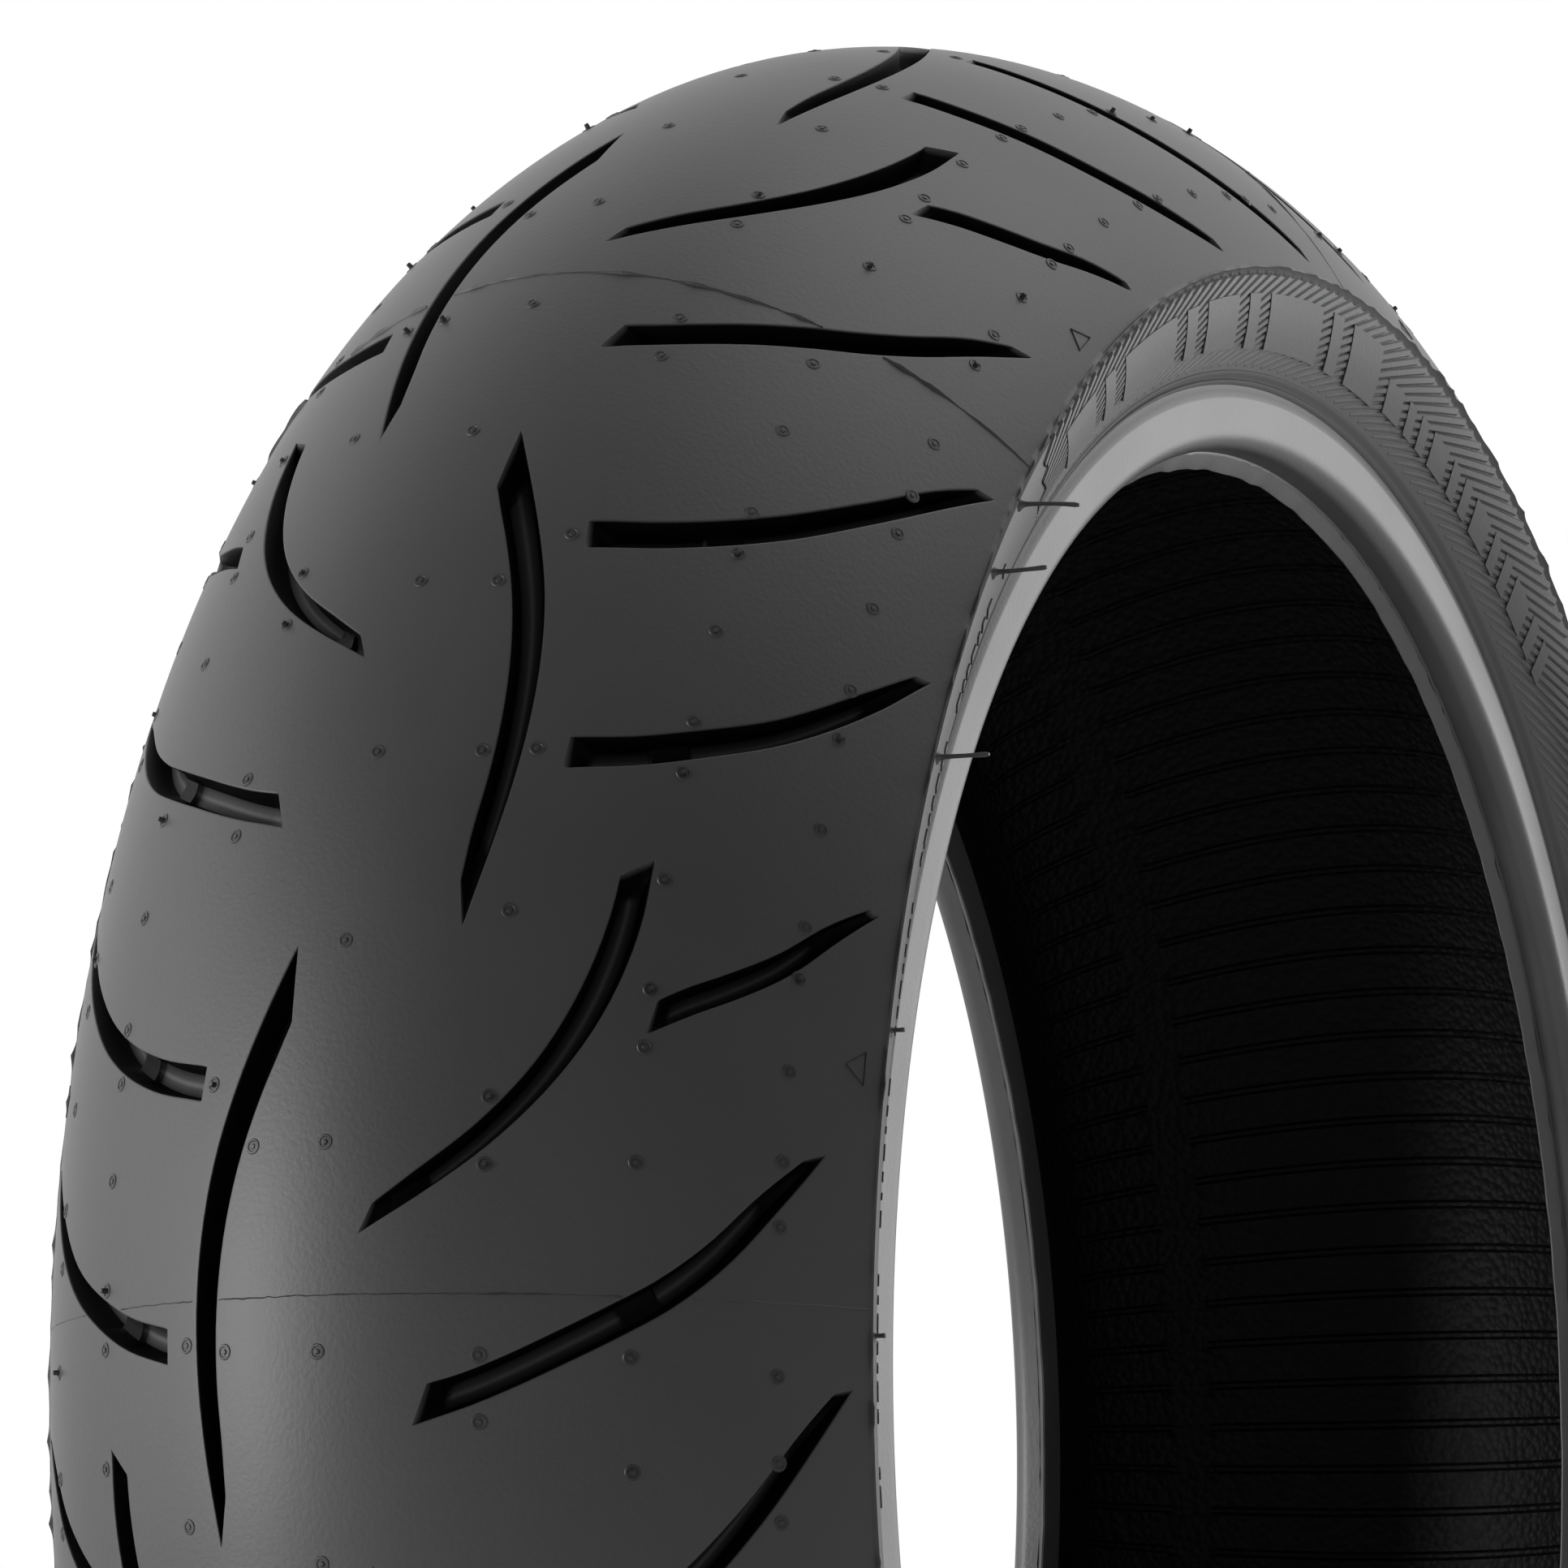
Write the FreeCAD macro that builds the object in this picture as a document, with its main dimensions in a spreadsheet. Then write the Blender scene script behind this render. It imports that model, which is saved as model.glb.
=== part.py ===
import FreeCAD, Part

import math
import os

import Sketcher

# A radial rear motorcycle tire, size 180/55-17, off its rim.
# Frame: +Z up, the origin at the wheel centre, the axle along Y, the tire rolls along X.
# "right" is the -Y side and "left" the +Y side.  Lengths are millimetres, angles degrees.
# A section point is (radius, across): its distance from the axle and from the centre plane.

# ---------------------------------------------------------------- driving dimensions
SIZES = {
    # outside crown: two tangent arcs on each side of the centre plane
    "outer_radius": 316.0,
    "crown_arc": 90.0,
    "crown_angle": 18.0,
    "shoulder_arc": 116.0,
    "shoulder_angle": 60.5,
    # depths of the layers below the crown surface
    "cap_depth": 7.5,
    "base_depth": 9.0,
    "belt_depth": 10.2,
    "ply_depth": 11.4,
    "liner_depth": 12.8,
    # ends of the crown layers, as angles round the shoulder arc
    "wing_angle": 59.2,
    "belt_angle": 50.0,
    # inside shoulder: one arc of the liner surface, then a straight leg to the bead
    "inside_arc": 27.0,
    "leg_angle": 115.0,
    # bead
    "seat_radius": 218.3,
    "toe_radius": 214.5,
    "toe_across": 70.4,
    "seat_across": 73.2,
    "inner_face": 69.9,
    "flange_face": 81.2,
    "heel_arc": 4.5,
    "chafer_thick": 1.2,
    "liner_thick": 1.4,
    "ply_thick": 1.2,
    "ply_chamfer": 1.5,
    "guard_top": 224.0,
    "chafer_top": 230.0,
    "turnup_bend": 236.0,
    "turnup_top": 246.0,
    "turnup_lean": 3.4,
    "edge_strip_tall": 3.0,
    # bead core: rows of a steel wire strip, in a fabric wrap
    "wire_diameter": 1.08,
    "wire_pitch": 1.1,
    "wires_across": 4,
    "wire_rows": 5,
    "wrap_thick": 0.4,
    # outside of the sidewall
    "line_radius": 232.8,
    "line_across": 80.4,
    "sidewall_arc": 75.0,
    # zero-degree belt, wound as turns of one flat strip
    "strip_width": 5.4,
    "strip_thick": 1.14,
    "strip_gap": 0.2,
    # tread pattern
    "groove_depth": 6.5,
    "pattern_repeats": 8,
    "pattern_start": 133.0,
    "pattern_lag": 22.5,
}

# Tread grooves of one repeat on the right half.  Each row is a point of the groove's
# centre line: distance from the centre plane along the crown, angle past the repeat's
# start, groove width.
GROOVES = {
    "upper_slant": [(108.0, 3.3, 1.2), (86.0, 8.7, 4.6), (60.0, 12.7, 5.8), (31.6, 14.4, 6.8)],
    "middle_slant": [(110.5, 14.7, 1.2), (79.5, 21.1, 5.0), (60.0, 22.9, 6.0), (38.6, 24.1, 6.6)],
    "short_slant": [(107.5, 27.3, 1.2), (89.0, 30.9, 4.8), (74.0, 33.0, 5.6), (62.0, 34.3, 5.8)],
    "hook": [(58.0, 28.0, 5.0), (54.0, 32.4, 6.2), (44.7, 36.4, 5.2), (25.0, 40.3, 4.2),
             (7.0, 42.6, 0.8)],
    "lower_slant": [(101.5, 38.5, 1.2), (79.0, 43.4, 5.4), (59.0, 46.0, 6.2), (24.0, 48.8, 6.2)],
    "centre_sweep": [(10.8, 9.8, 1.0), (17.0, 13.6, 7.0), (26.0, 19.0, 6.4), (27.4, 23.5, 5.4),
                     (25.5, 27.7, 4.4), (22.4, 31.8, 0.8)],
}

doc = FreeCAD.newDocument("MotorcycleTire")
sheet = doc.addObject("Spreadsheet::Sheet", "Sizes")
for row, (alias, number) in enumerate(SIZES.items(), start=1):
    sheet.set("A%d" % row, alias)
    sheet.set("B%d" % row, str(number))
    sheet.setAlias("B%d" % row, alias)
doc.recompute()


# ---------------------------------------------------------------- sizes with expressions
class Size:
    """A number together with the expression over the sheet that gives it."""

    def __init__(self, value, text):
        self.value = float(value)
        self.text = text

    def __add__(self, other):
        other = as_size(other)
        return Size(self.value + other.value, "(%s + %s)" % (self.text, other.text))

    def __sub__(self, other):
        other = as_size(other)
        return Size(self.value - other.value, "(%s - %s)" % (self.text, other.text))

    def __mul__(self, other):
        other = as_size(other)
        return Size(self.value * other.value, "(%s * %s)" % (self.text, other.text))

    def __truediv__(self, other):
        other = as_size(other)
        return Size(self.value / other.value, "(%s / %s)" % (self.text, other.text))

    def __neg__(self):
        return self * -1


def as_size(number):
    return number if isinstance(number, Size) else Size(number, "(%r)" % number)


def cell(alias):
    """The sheet's value of an alias."""
    return Size(getattr(sheet, alias), "Sizes.%s" % alias)


def sine(angle):
    return Size(math.sin(math.radians(angle.value)), "sin(%s)" % angle.text)


def cosine(angle):
    return Size(math.cos(math.radians(angle.value)), "cos(%s)" % angle.text)


def root(number):
    return Size(math.sqrt(number.value), "sqrt(%s)" % number.text)


# ---------------------------------------------------------------- section geometry
def crown_centre():
    return cell("outer_radius") - cell("crown_arc"), as_size(0)


def shoulder_centre():
    """Centre of the shoulder arc, which is tangent to the crown arc at crown_angle."""
    longer = cell("shoulder_arc") - cell("crown_arc")
    radius, across = crown_centre()
    return (radius - longer * cosine(cell("crown_angle")),
            across - longer * sine(cell("crown_angle")))


def on_arc(centre, arc, angle):
    """The point of an arc at an angle measured from the outward direction."""
    return centre[0] + arc * cosine(angle), centre[1] + arc * sine(angle)


def crown_point(depth, angle):
    """A point of the layer surface at a depth, at an angle round the shoulder arc."""
    return on_arc(shoulder_centre(), cell("shoulder_arc") - depth, angle)


def inside_centre():
    """Centre of the inside shoulder arc, tangent to the liner surface at belt_angle."""
    return on_arc(shoulder_centre(),
                  cell("shoulder_arc") - cell("liner_depth") - cell("inside_arc"),
                  cell("belt_angle"))


def inside_point(depth, angle):
    """A point of the inside shoulder arc of the layer surface at a depth."""
    return on_arc(inside_centre(), inside_radius(depth), angle)


def inside_radius(depth):
    return cell("inside_arc") + cell("liner_depth") - depth


def inside_at_radius(depth, radius):
    """Where the inside shoulder arc of a layer surface reaches a distance from the axle."""
    centre = inside_centre()
    arc = inside_radius(depth)
    drop = radius - centre[0]
    return radius, centre[1] + root(arc * arc - drop * drop)


def leg_foot(depth, across):
    """Where the straight leg below the inside arc reaches a distance from the centre plane."""
    start = inside_point(depth, cell("leg_angle"))
    slope = cosine(cell("leg_angle")) / sine(cell("leg_angle"))
    return start[0] + (start[1] - across) / slope, across


# ---------------------------------------------------------------- profiles and bodies
def line(*points):
    """Corners joined by straight lines."""
    return [(point, None, None) for point in points]


def arc(point, centre, radius):
    """A corner that is reached by an arc from the corner before it."""
    return [(point, centre, radius)]


def mirrored(profile):
    """The same run of corners on the other side of the centre plane, in reverse order."""
    corners = [((point[0], -point[1]), centre, radius) for point, centre, radius in profile]
    turned = []
    for index in range(len(corners) - 1, -1, -1):
        centre, radius = None, None
        if index + 1 < len(corners):
            centre, radius = corners[index + 1][1:]
        if centre is not None:
            centre = (centre[0], -centre[1])
        turned.append((corners[index][0], centre, radius))
    return turned


def vector(point):
    return FreeCAD.Vector(point[0].value, point[1].value, 0)


def origin_feature(body, role):
    return next(item for item in body.Origin.OriginFeatures if item.Role == role)


def bind(sketch, kind, geometry, position, size):
    """Tie one coordinate of a sketch point to an expression."""
    index = sketch.addConstraint(
        Sketcher.Constraint(kind, -1, 1, geometry, position, size.value))
    sketch.setExpression("Constraints[%d]" % index, size.text)


def draw_profile(sketch, profile):
    """Draw a closed profile with every corner and every arc radius bound to the sheet."""
    count = len(profile)
    for index in range(count):
        start = vector(profile[index][0])
        end_point, centre, radius = profile[(index + 1) % count]
        end = vector(end_point)
        if centre is None:
            sketch.addGeometry(Part.LineSegment(start, end))
            continue
        middle = vector(centre)
        half_way = (start + end) * 0.5 - middle
        half_way.normalize()
        shape = Part.Arc(start, middle + half_way * radius.value, end)
        sketch.addGeometry(shape)
    starts = []
    for index in range(count):
        start = vector(profile[index][0])
        at_start = sketch.getPoint(index, 1).isEqual(start, 1e-6)
        starts.append(1 if at_start else 2)
    for index in range(count):
        following = (index + 1) % count
        sketch.addConstraint(Sketcher.Constraint(
            "Coincident", index, 3 - starts[index], following, starts[following]))
        point = profile[index][0]
        bind(sketch, "DistanceX", index, starts[index], point[0])
        bind(sketch, "DistanceY", index, starts[index], point[1])
        radius = profile[following][2]
        if radius is not None:
            held = sketch.addConstraint(Sketcher.Constraint("Radius", index, radius.value))
            sketch.setExpression("Constraints[%d]" % held, radius.text)


def ring(name, profile):
    """A body made by turning a closed profile about the axle."""
    body = doc.addObject("PartDesign::Body", name)
    body.Label = name
    sketch = body.newObject("Sketcher::SketchObject", name + "_profile")
    sketch.AttachmentSupport = [(origin_feature(body, "XY_Plane"), "")]
    sketch.MapMode = "FlatFace"
    draw_profile(sketch, profile)
    turn = body.newObject("PartDesign::Revolution", name + "_turn")
    turn.Profile = sketch
    turn.ReferenceAxis = (sketch, ["V_Axis"])
    turn.Angle = 360
    body.Tip = turn
    return body


def pair(name, profile):
    """The left and right rings of one profile, given with positive distances across."""
    return [ring(name + "_left", profile), ring(name + "_right", mirrored(profile))]


# ---------------------------------------------------------------- crown layers
def crown_run(depth, angle):
    """The layer surface at a depth, from the left side over the crown to the right."""
    half = (line(crown_point(depth, angle))
            + arc(crown_point(depth, cell("crown_angle")), shoulder_centre(),
                  cell("shoulder_arc") - depth))
    top = arc((cell("outer_radius") - depth, as_size(0)), crown_centre(),
              cell("crown_arc") - depth)
    other = mirrored(half)
    first = other[0][0]
    return half + top + arc(first, crown_centre(), cell("crown_arc") - depth) + other[1:]


def reverse_run(profile):
    """The same run of corners walked the other way."""
    turned = []
    for index in range(len(profile) - 1, -1, -1):
        centre, radius = None, None
        if index + 1 < len(profile):
            centre, radius = profile[index + 1][1:]
        turned.append((profile[index][0], centre, radius))
    return turned


def crown_layer(name, upper, lower, angle):
    return ring(name, crown_run(upper, angle) + reverse_run(crown_run(lower, angle)))


surface = as_size(0)
cap_ring = crown_layer("tread_cap_ring", surface, cell("cap_depth"), cell("wing_angle"))
tread_base = crown_layer("tread_base", cell("cap_depth"), cell("base_depth"),
                         cell("wing_angle"))


def shoulder_band(upper, lower, inner_angle, outer_angle):
    """A band of the shoulder between two depths and two angles."""
    centre = shoulder_centre()
    return (line(crown_point(upper, inner_angle))
            + arc(crown_point(upper, outer_angle), centre, cell("shoulder_arc") - upper)
            + line(crown_point(lower, outer_angle))
            + arc(crown_point(lower, inner_angle), centre, cell("shoulder_arc") - lower))


tread_wings = pair("tread_wing", shoulder_band(surface, cell("base_depth"),
                                               cell("wing_angle"), cell("shoulder_angle")))
edge_cushions = pair("belt_edge_cushion", shoulder_band(
    cell("base_depth"), cell("belt_depth"), cell("belt_angle"), cell("shoulder_angle")))


# ---------------------------------------------------------------- inner liner and ply
def inside_run(depth, across):
    """A layer surface from the crown centre down the left inside to its straight leg."""
    return (line(leg_foot(depth, across))
            + line(inside_point(depth, cell("leg_angle")))
            + arc(crown_point(depth, cell("belt_angle")), inside_centre(),
                  inside_radius(depth))
            + arc(crown_point(depth, cell("crown_angle")), shoulder_centre(),
                  cell("shoulder_arc") - depth))


def whole_run(depth, foot):
    """Foot corners, inside run, crown and the mirrored way down to the other foot."""
    across = foot[-1][1]
    half = line(*foot[:-1]) + inside_run(depth, across)
    top = arc((cell("outer_radius") - depth, as_size(0)), crown_centre(),
              cell("crown_arc") - depth)
    other = mirrored(half)
    first = other[0][0]
    return half + top + arc(first, crown_centre(), cell("crown_arc") - depth) + other[1:]


liner_outside = cell("inner_face") + cell("liner_thick")
liner_inner = whole_run(cell("liner_depth"), [
    (cell("guard_top"), cell("inner_face")), (as_size(0), cell("inner_face"))])
liner_outer = whole_run(cell("ply_depth"), [
    (cell("guard_top"), liner_outside), (as_size(0), liner_outside)])
inner_liner = ring("inner_liner", liner_outer + reverse_run(liner_inner))

ply_bottom = cell("seat_radius") + cell("chafer_thick")
core_bottom = ply_bottom + cell("ply_thick")
ply_left_face = liner_outside + cell("ply_thick")
turnup_inside = (ply_left_face + cell("wrap_thick") * 2
                 + cell("wire_pitch") * cell("wires_across"))
turnup_outside = turnup_inside + cell("ply_thick")
turnup_top = cell("turnup_top")


def turnup_corners():
    """The ply's turned-up end on the left side, from its foot inside to its foot outside."""
    lean = cell("turnup_lean")
    return [
        (core_bottom, ply_left_face),
        (core_bottom, turnup_inside),
        (cell("turnup_bend"), turnup_inside),
        (turnup_top, turnup_inside + lean),
        (turnup_top, turnup_outside + lean),
        (cell("turnup_bend"), turnup_outside),
        (ply_bottom + cell("ply_chamfer"), turnup_outside),
        (ply_bottom, turnup_outside - cell("ply_chamfer")),
        (ply_bottom, liner_outside),
    ]


ply_over = whole_run(cell("belt_depth"), [
    *reversed(turnup_corners()), (as_size(0), ply_left_face)])
ply_under = whole_run(cell("ply_depth"), [(as_size(0), liner_outside)])
carcass_ply = ring("carcass_ply", ply_over + reverse_run(ply_under))


# ---------------------------------------------------------------- beads
wrap_top = core_bottom + cell("wrap_thick") * 2 + cell("wire_pitch") * cell("wire_rows")


def bead_wrap():
    """Fabric wrap: a square tube that holds the wires."""
    inner = cell("wrap_thick")
    outer = line((core_bottom, ply_left_face), (core_bottom, turnup_inside),
                 (wrap_top, turnup_inside), (wrap_top, ply_left_face))
    hole = line((core_bottom + inner, ply_left_face + inner),
                (core_bottom + inner, turnup_inside - inner),
                (wrap_top - inner, turnup_inside - inner),
                (wrap_top - inner, ply_left_face + inner))
    return outer, hole


def tube_ring(name, outer, hole):
    """A ring body whose section has a hole, cut with a groove all the way round."""
    body = ring(name, outer)
    sketch = body.newObject("Sketcher::SketchObject", name + "_hole")
    sketch.AttachmentSupport = [(origin_feature(body, "XY_Plane"), "")]
    sketch.MapMode = "FlatFace"
    draw_profile(sketch, hole)
    groove = body.newObject("PartDesign::Groove", name + "_hollow")
    groove.Profile = sketch
    groove.ReferenceAxis = (sketch, ["V_Axis"])
    groove.Angle = 360
    body.Tip = groove
    return body


wrap_outer, wrap_hole = bead_wrap()
bead_wraps = [tube_ring("bead_wrap_left", wrap_outer, wrap_hole),
              tube_ring("bead_wrap_right", mirrored(wrap_outer), mirrored(wrap_hole))]


def bead_core(side_name, place):
    """The bead's steel: a strip of wires wound in rows, each row one closed flat band."""
    inner = cell("wrap_thick")
    rows = []
    for row in range(int(sheet.wire_rows)):
        low = core_bottom + inner + cell("wire_pitch") * row
        high = low + cell("wire_diameter")
        near = ply_left_face + inner
        far = turnup_inside - inner
        band = line((low, near), (low, far), (high, far), (high, near))
        rows.append(ring("bead_row_%s_%d" % (side_name, row + 1), place(band)))
    core = doc.addObject("Part::Compound", "bead_core_" + side_name)
    core.Label = "bead_core_" + side_name
    core.Links = rows
    return core


bead_cores = [bead_core("left", list), bead_core("right", mirrored)]


def filler_profile():
    """Hard rubber wedge between the ply and its turned-up end."""
    foot = leg_foot(cell("belt_depth"), ply_left_face)
    top = inside_at_radius(cell("belt_depth"), turnup_top)
    return (line((wrap_top, ply_left_face), (wrap_top, turnup_inside),
                 (cell("turnup_bend"), turnup_inside),
                 (turnup_top, turnup_inside + cell("turnup_lean")), top)
            + arc(inside_point(cell("belt_depth"), cell("leg_angle")), inside_centre(),
                  inside_radius(cell("belt_depth")))
            + line(foot))


bead_fillers = pair("bead_filler", filler_profile())


def edge_strip_profile():
    """Soft strip that covers the cut end of the ply and the tip of the filler."""
    outer = turnup_outside + cell("turnup_lean")
    low = inside_at_radius(cell("belt_depth"), turnup_top)
    high = inside_at_radius(cell("belt_depth"), turnup_top + cell("edge_strip_tall"))
    return (line((turnup_top, outer), (high[0], outer), high)
            + arc(low, inside_centre(), inside_radius(cell("belt_depth"))))


ply_edge_strips = pair("ply_edge_strip", edge_strip_profile())


def chafer_profile():
    """Abrasion strip over the bead seat, the heel and the rim flange face."""
    heel = cell("heel_arc")
    centre = (cell("seat_radius") + heel, cell("flange_face") - heel)
    return (line((cell("seat_radius"), cell("seat_across")),
                 (cell("seat_radius"), cell("flange_face") - heel))
            + arc((cell("seat_radius") + heel, cell("flange_face")), centre, heel)
            + line((cell("chafer_top"), cell("flange_face")),
                   (cell("chafer_top"), turnup_outside),
                   (ply_bottom + cell("ply_chamfer"), turnup_outside),
                   (ply_bottom, turnup_outside - cell("ply_chamfer")),
                   (ply_bottom, cell("seat_across"))))


chafers = pair("chafer", chafer_profile())

toe_guards = pair("toe_guard", line(
    (cell("guard_top"), cell("inner_face")),
    (cell("toe_radius"), cell("toe_across")),
    (cell("seat_radius"), cell("seat_across")),
    (ply_bottom, cell("seat_across")),
    (ply_bottom, liner_outside),
    (cell("guard_top"), liner_outside)))


# ---------------------------------------------------------------- sidewalls
def chord_centre(start, end, radius):
    """Centre of an arc between two corners that bulges away from the centre plane."""
    along = end[0].value - start[0].value, end[1].value - start[1].value
    chord = math.hypot(*along)
    rise = math.sqrt(radius.value ** 2 - (chord / 2) ** 2)
    return (as_size((start[0].value + end[0].value) / 2 + rise * along[1] / chord),
            as_size((start[1].value + end[1].value) / 2 - rise * along[0] / chord))


def sidewall_profile():
    """Outer sidewall rubber, from the chafer to the edge of the tread."""
    edge = crown_point(surface, cell("shoulder_angle"))
    rim_line = (cell("line_radius"), cell("line_across"))
    strip_top = turnup_top + cell("edge_strip_tall")
    strip_outside = turnup_outside + cell("turnup_lean")
    depth = cell("belt_depth")
    centre = chord_centre(rim_line, edge, cell("sidewall_arc"))
    return (line((cell("chafer_top"), turnup_outside),
                 (cell("chafer_top"), cell("flange_face")), rim_line)
            + arc(edge, centre, cell("sidewall_arc"))
            + line(crown_point(depth, cell("shoulder_angle")))
            + arc(crown_point(depth, cell("belt_angle")), shoulder_centre(),
                  cell("shoulder_arc") - depth)
            + arc(inside_at_radius(depth, strip_top), inside_centre(), inside_radius(depth))
            + line((strip_top, strip_outside), (turnup_top, strip_outside),
                   (cell("turnup_bend"), turnup_outside)))


sidewalls = pair("sidewall", sidewall_profile())


# ---------------------------------------------------------------- belt
def crown_place(along, depth):
    """Section point at a distance along the crown from its centre, below the surface."""
    first = sheet.crown_arc * math.radians(sheet.crown_angle)
    reach = abs(along)
    if reach <= first:
        angle = reach / sheet.crown_arc
        centre = crown_centre()
        bend = sheet.crown_arc
    else:
        angle = math.radians(sheet.crown_angle) + (reach - first) / sheet.shoulder_arc
        centre = shoulder_centre()
        bend = sheet.shoulder_arc
    radius = centre[0].value + (bend - depth) * math.cos(angle)
    across = centre[1].value + (bend - depth) * math.sin(angle)
    return radius, math.copysign(across, along)


def crown_length(angle):
    """Distance along the crown surface from its centre to an angle of the shoulder arc."""
    first = sheet.crown_arc * math.radians(sheet.crown_angle)
    return first + sheet.shoulder_arc * math.radians(angle - sheet.crown_angle)


def belt_turns():
    """Turns of the steel-cord strip, side by side from edge to edge of the belt."""
    reach = crown_length(sheet.belt_angle)
    pitch = sheet.strip_width + sheet.strip_gap
    count = int(2 * reach // pitch)
    turns = []
    for number in range(count):
        middle = (number - (count - 1) / 2) * pitch
        corners = []
        lower = sheet.base_depth + sheet.strip_thick
        for depth, half in ((sheet.base_depth, 0.5), (sheet.base_depth, -0.5),
                            (lower, -0.5), (lower, 0.5)):
            radius, across = crown_place(middle + half * sheet.strip_width, depth)
            corners.append(FreeCAD.Vector(radius, across, 0))
        face = Part.Face(Part.makePolygon(corners + corners[:1]))
        turns.append(face.revolve(FreeCAD.Vector(0, 0, 0), FreeCAD.Vector(0, 1, 0), 360))
    return turns


# ---------------------------------------------------------------- tread pattern
# How far a groove's cutting solid stands above the tread.
CUTTER_ABOVE = 1.0


def tread_point(along, angle, depth):
    """Point of the tread at a distance along the crown and an angle round the tire."""
    radius, across = crown_place(along, depth)
    turn = math.radians(angle)
    return FreeCAD.Vector(radius * math.cos(turn), across, radius * math.sin(turn))


def groove_section(points, index, side, shift):
    """Outline across a groove at one of its points, from above the tread to the floor."""
    def middle(number, depth=0.0):
        along, angle, _ = points[number]
        return tread_point(side * along, angle + shift, depth)

    inward = middle(index, 1.0) - middle(index)
    run = middle(min(index + 1, len(points) - 1)) - middle(max(index - 1, 0))
    sideways = inward.cross(run).normalize()
    half = points[index][2] / 2
    mouth = middle(index) - inward * CUTTER_ABOVE
    floor = middle(index) + inward * sheet.groove_depth
    corners = [mouth - sideways * half, mouth + sideways * half,
               floor + sideways * half, floor - sideways * half]
    return Part.makePolygon(corners + corners[:1])


def groove_solid(points, side, shift):
    """Solid that fills one groove: a loft through its sections."""
    sections = [groove_section(points, index, side, shift) for index in range(len(points))]
    return Part.makeLoft(sections, True, False)


def groove_solids():
    """Every groove of the tread: both halves, all repeats."""
    step = 360.0 / sheet.pattern_repeats
    solids = []
    for side, lag in ((-1, 0.0), (1, sheet.pattern_lag)):
        for points in GROOVES.values():
            first = groove_solid(points, side, sheet.pattern_start + lag)
            for number in range(int(sheet.pattern_repeats)):
                copy = first.copy()
                copy.rotate(FreeCAD.Vector(0, 0, 0), FreeCAD.Vector(0, -1, 0), number * step)
                solids.append(copy)
    return solids


doc.recompute()

belt = doc.addObject("Part::Feature", "belt_turns")
belt.Label = "belt_turns"
belt.Shape = Part.makeCompound(belt_turns())

grooves = doc.addObject("Part::Feature", "tread_grooves")
grooves.Shape = Part.makeCompound(groove_solids())

tread_cap = doc.addObject("Part::Cut", "tread_cap")
tread_cap.Label = "tread_cap"
tread_cap.Base = cap_ring
tread_cap.Tool = grooves
doc.recompute()

# ---------------------------------------------------------------- check and export
SUB_PARTS = [tread_cap, tread_base, belt, carcass_ply, inner_liner]
SUB_PARTS += tread_wings + edge_cushions + bead_wraps + bead_cores + bead_fillers
SUB_PARTS += ply_edge_strips + chafers + toe_guards + sidewalls

for item in doc.Objects:
    if "Invalid" in item.State or "Error" in item.State:
        raise RuntimeError("%s failed to build: %s" % (item.Name, item.State))
for item in SUB_PARTS:
    if item.Shape.isNull() or not item.Shape.isValid():
        raise RuntimeError("%s has no valid shape" % item.Label)

os.makedirs("parts", exist_ok=True)
for item in SUB_PARTS:
    item.Shape.exportStep("parts/%s.step" % item.Label)
    print("%-26s %9.1f cm3  %d solids" % (item.Label, item.Shape.Volume / 1000,
                                          len(item.Shape.Solids)))
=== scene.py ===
import math

import bmesh
import bpy
import numpy as np
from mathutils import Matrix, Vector
from mathutils.geometry import delaunay_2d_cdt


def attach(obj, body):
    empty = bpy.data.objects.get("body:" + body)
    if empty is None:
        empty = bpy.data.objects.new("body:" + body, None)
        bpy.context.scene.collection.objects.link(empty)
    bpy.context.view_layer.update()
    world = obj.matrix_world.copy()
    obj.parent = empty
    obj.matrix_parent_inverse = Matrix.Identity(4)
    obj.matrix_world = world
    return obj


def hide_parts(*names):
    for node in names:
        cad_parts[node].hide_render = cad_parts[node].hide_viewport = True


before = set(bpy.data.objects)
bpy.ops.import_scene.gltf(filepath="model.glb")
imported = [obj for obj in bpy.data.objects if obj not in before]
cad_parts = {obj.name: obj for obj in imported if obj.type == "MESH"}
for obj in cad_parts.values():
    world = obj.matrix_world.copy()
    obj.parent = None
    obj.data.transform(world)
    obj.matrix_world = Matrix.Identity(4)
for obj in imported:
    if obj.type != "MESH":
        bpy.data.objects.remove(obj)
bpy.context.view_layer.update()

# Looks of a radial rear motorcycle tire, size 180/55-17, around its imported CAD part.
# The axle runs along Y and the near sidewall is the -Y ("right") one.
# Lengths are millimetres until a mesh is made.  Angles round the tire are degrees.

MM = 0.001
scene = bpy.context.scene
rng = np.random.default_rng(11)

# ---------------------------------------------------------------- section of the tire
OUTER_RADIUS = 316.0
CROWN_ARC = 90.0
FIRST_TURN = 18.0
CROWN_TURN = math.radians(FIRST_TURN)
SHOULDER_ARC = 116.0
FIRST_RUN = CROWN_ARC * CROWN_TURN
CROWN_CENTRE = OUTER_RADIUS - CROWN_ARC
SHOULDER_CENTRE = (CROWN_CENTRE - (SHOULDER_ARC - CROWN_ARC) * math.cos(CROWN_TURN),
                   (CROWN_ARC - SHOULDER_ARC) * math.sin(CROWN_TURN))
# Distances along the crown: where the tread cap ends, and the shoulder edge.
CAP_EDGE = FIRST_RUN + SHOULDER_ARC * (math.radians(59.2) - CROWN_TURN)
SHOULDER_EDGE = FIRST_RUN + SHOULDER_ARC * (math.radians(60.5) - CROWN_TURN)
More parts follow.
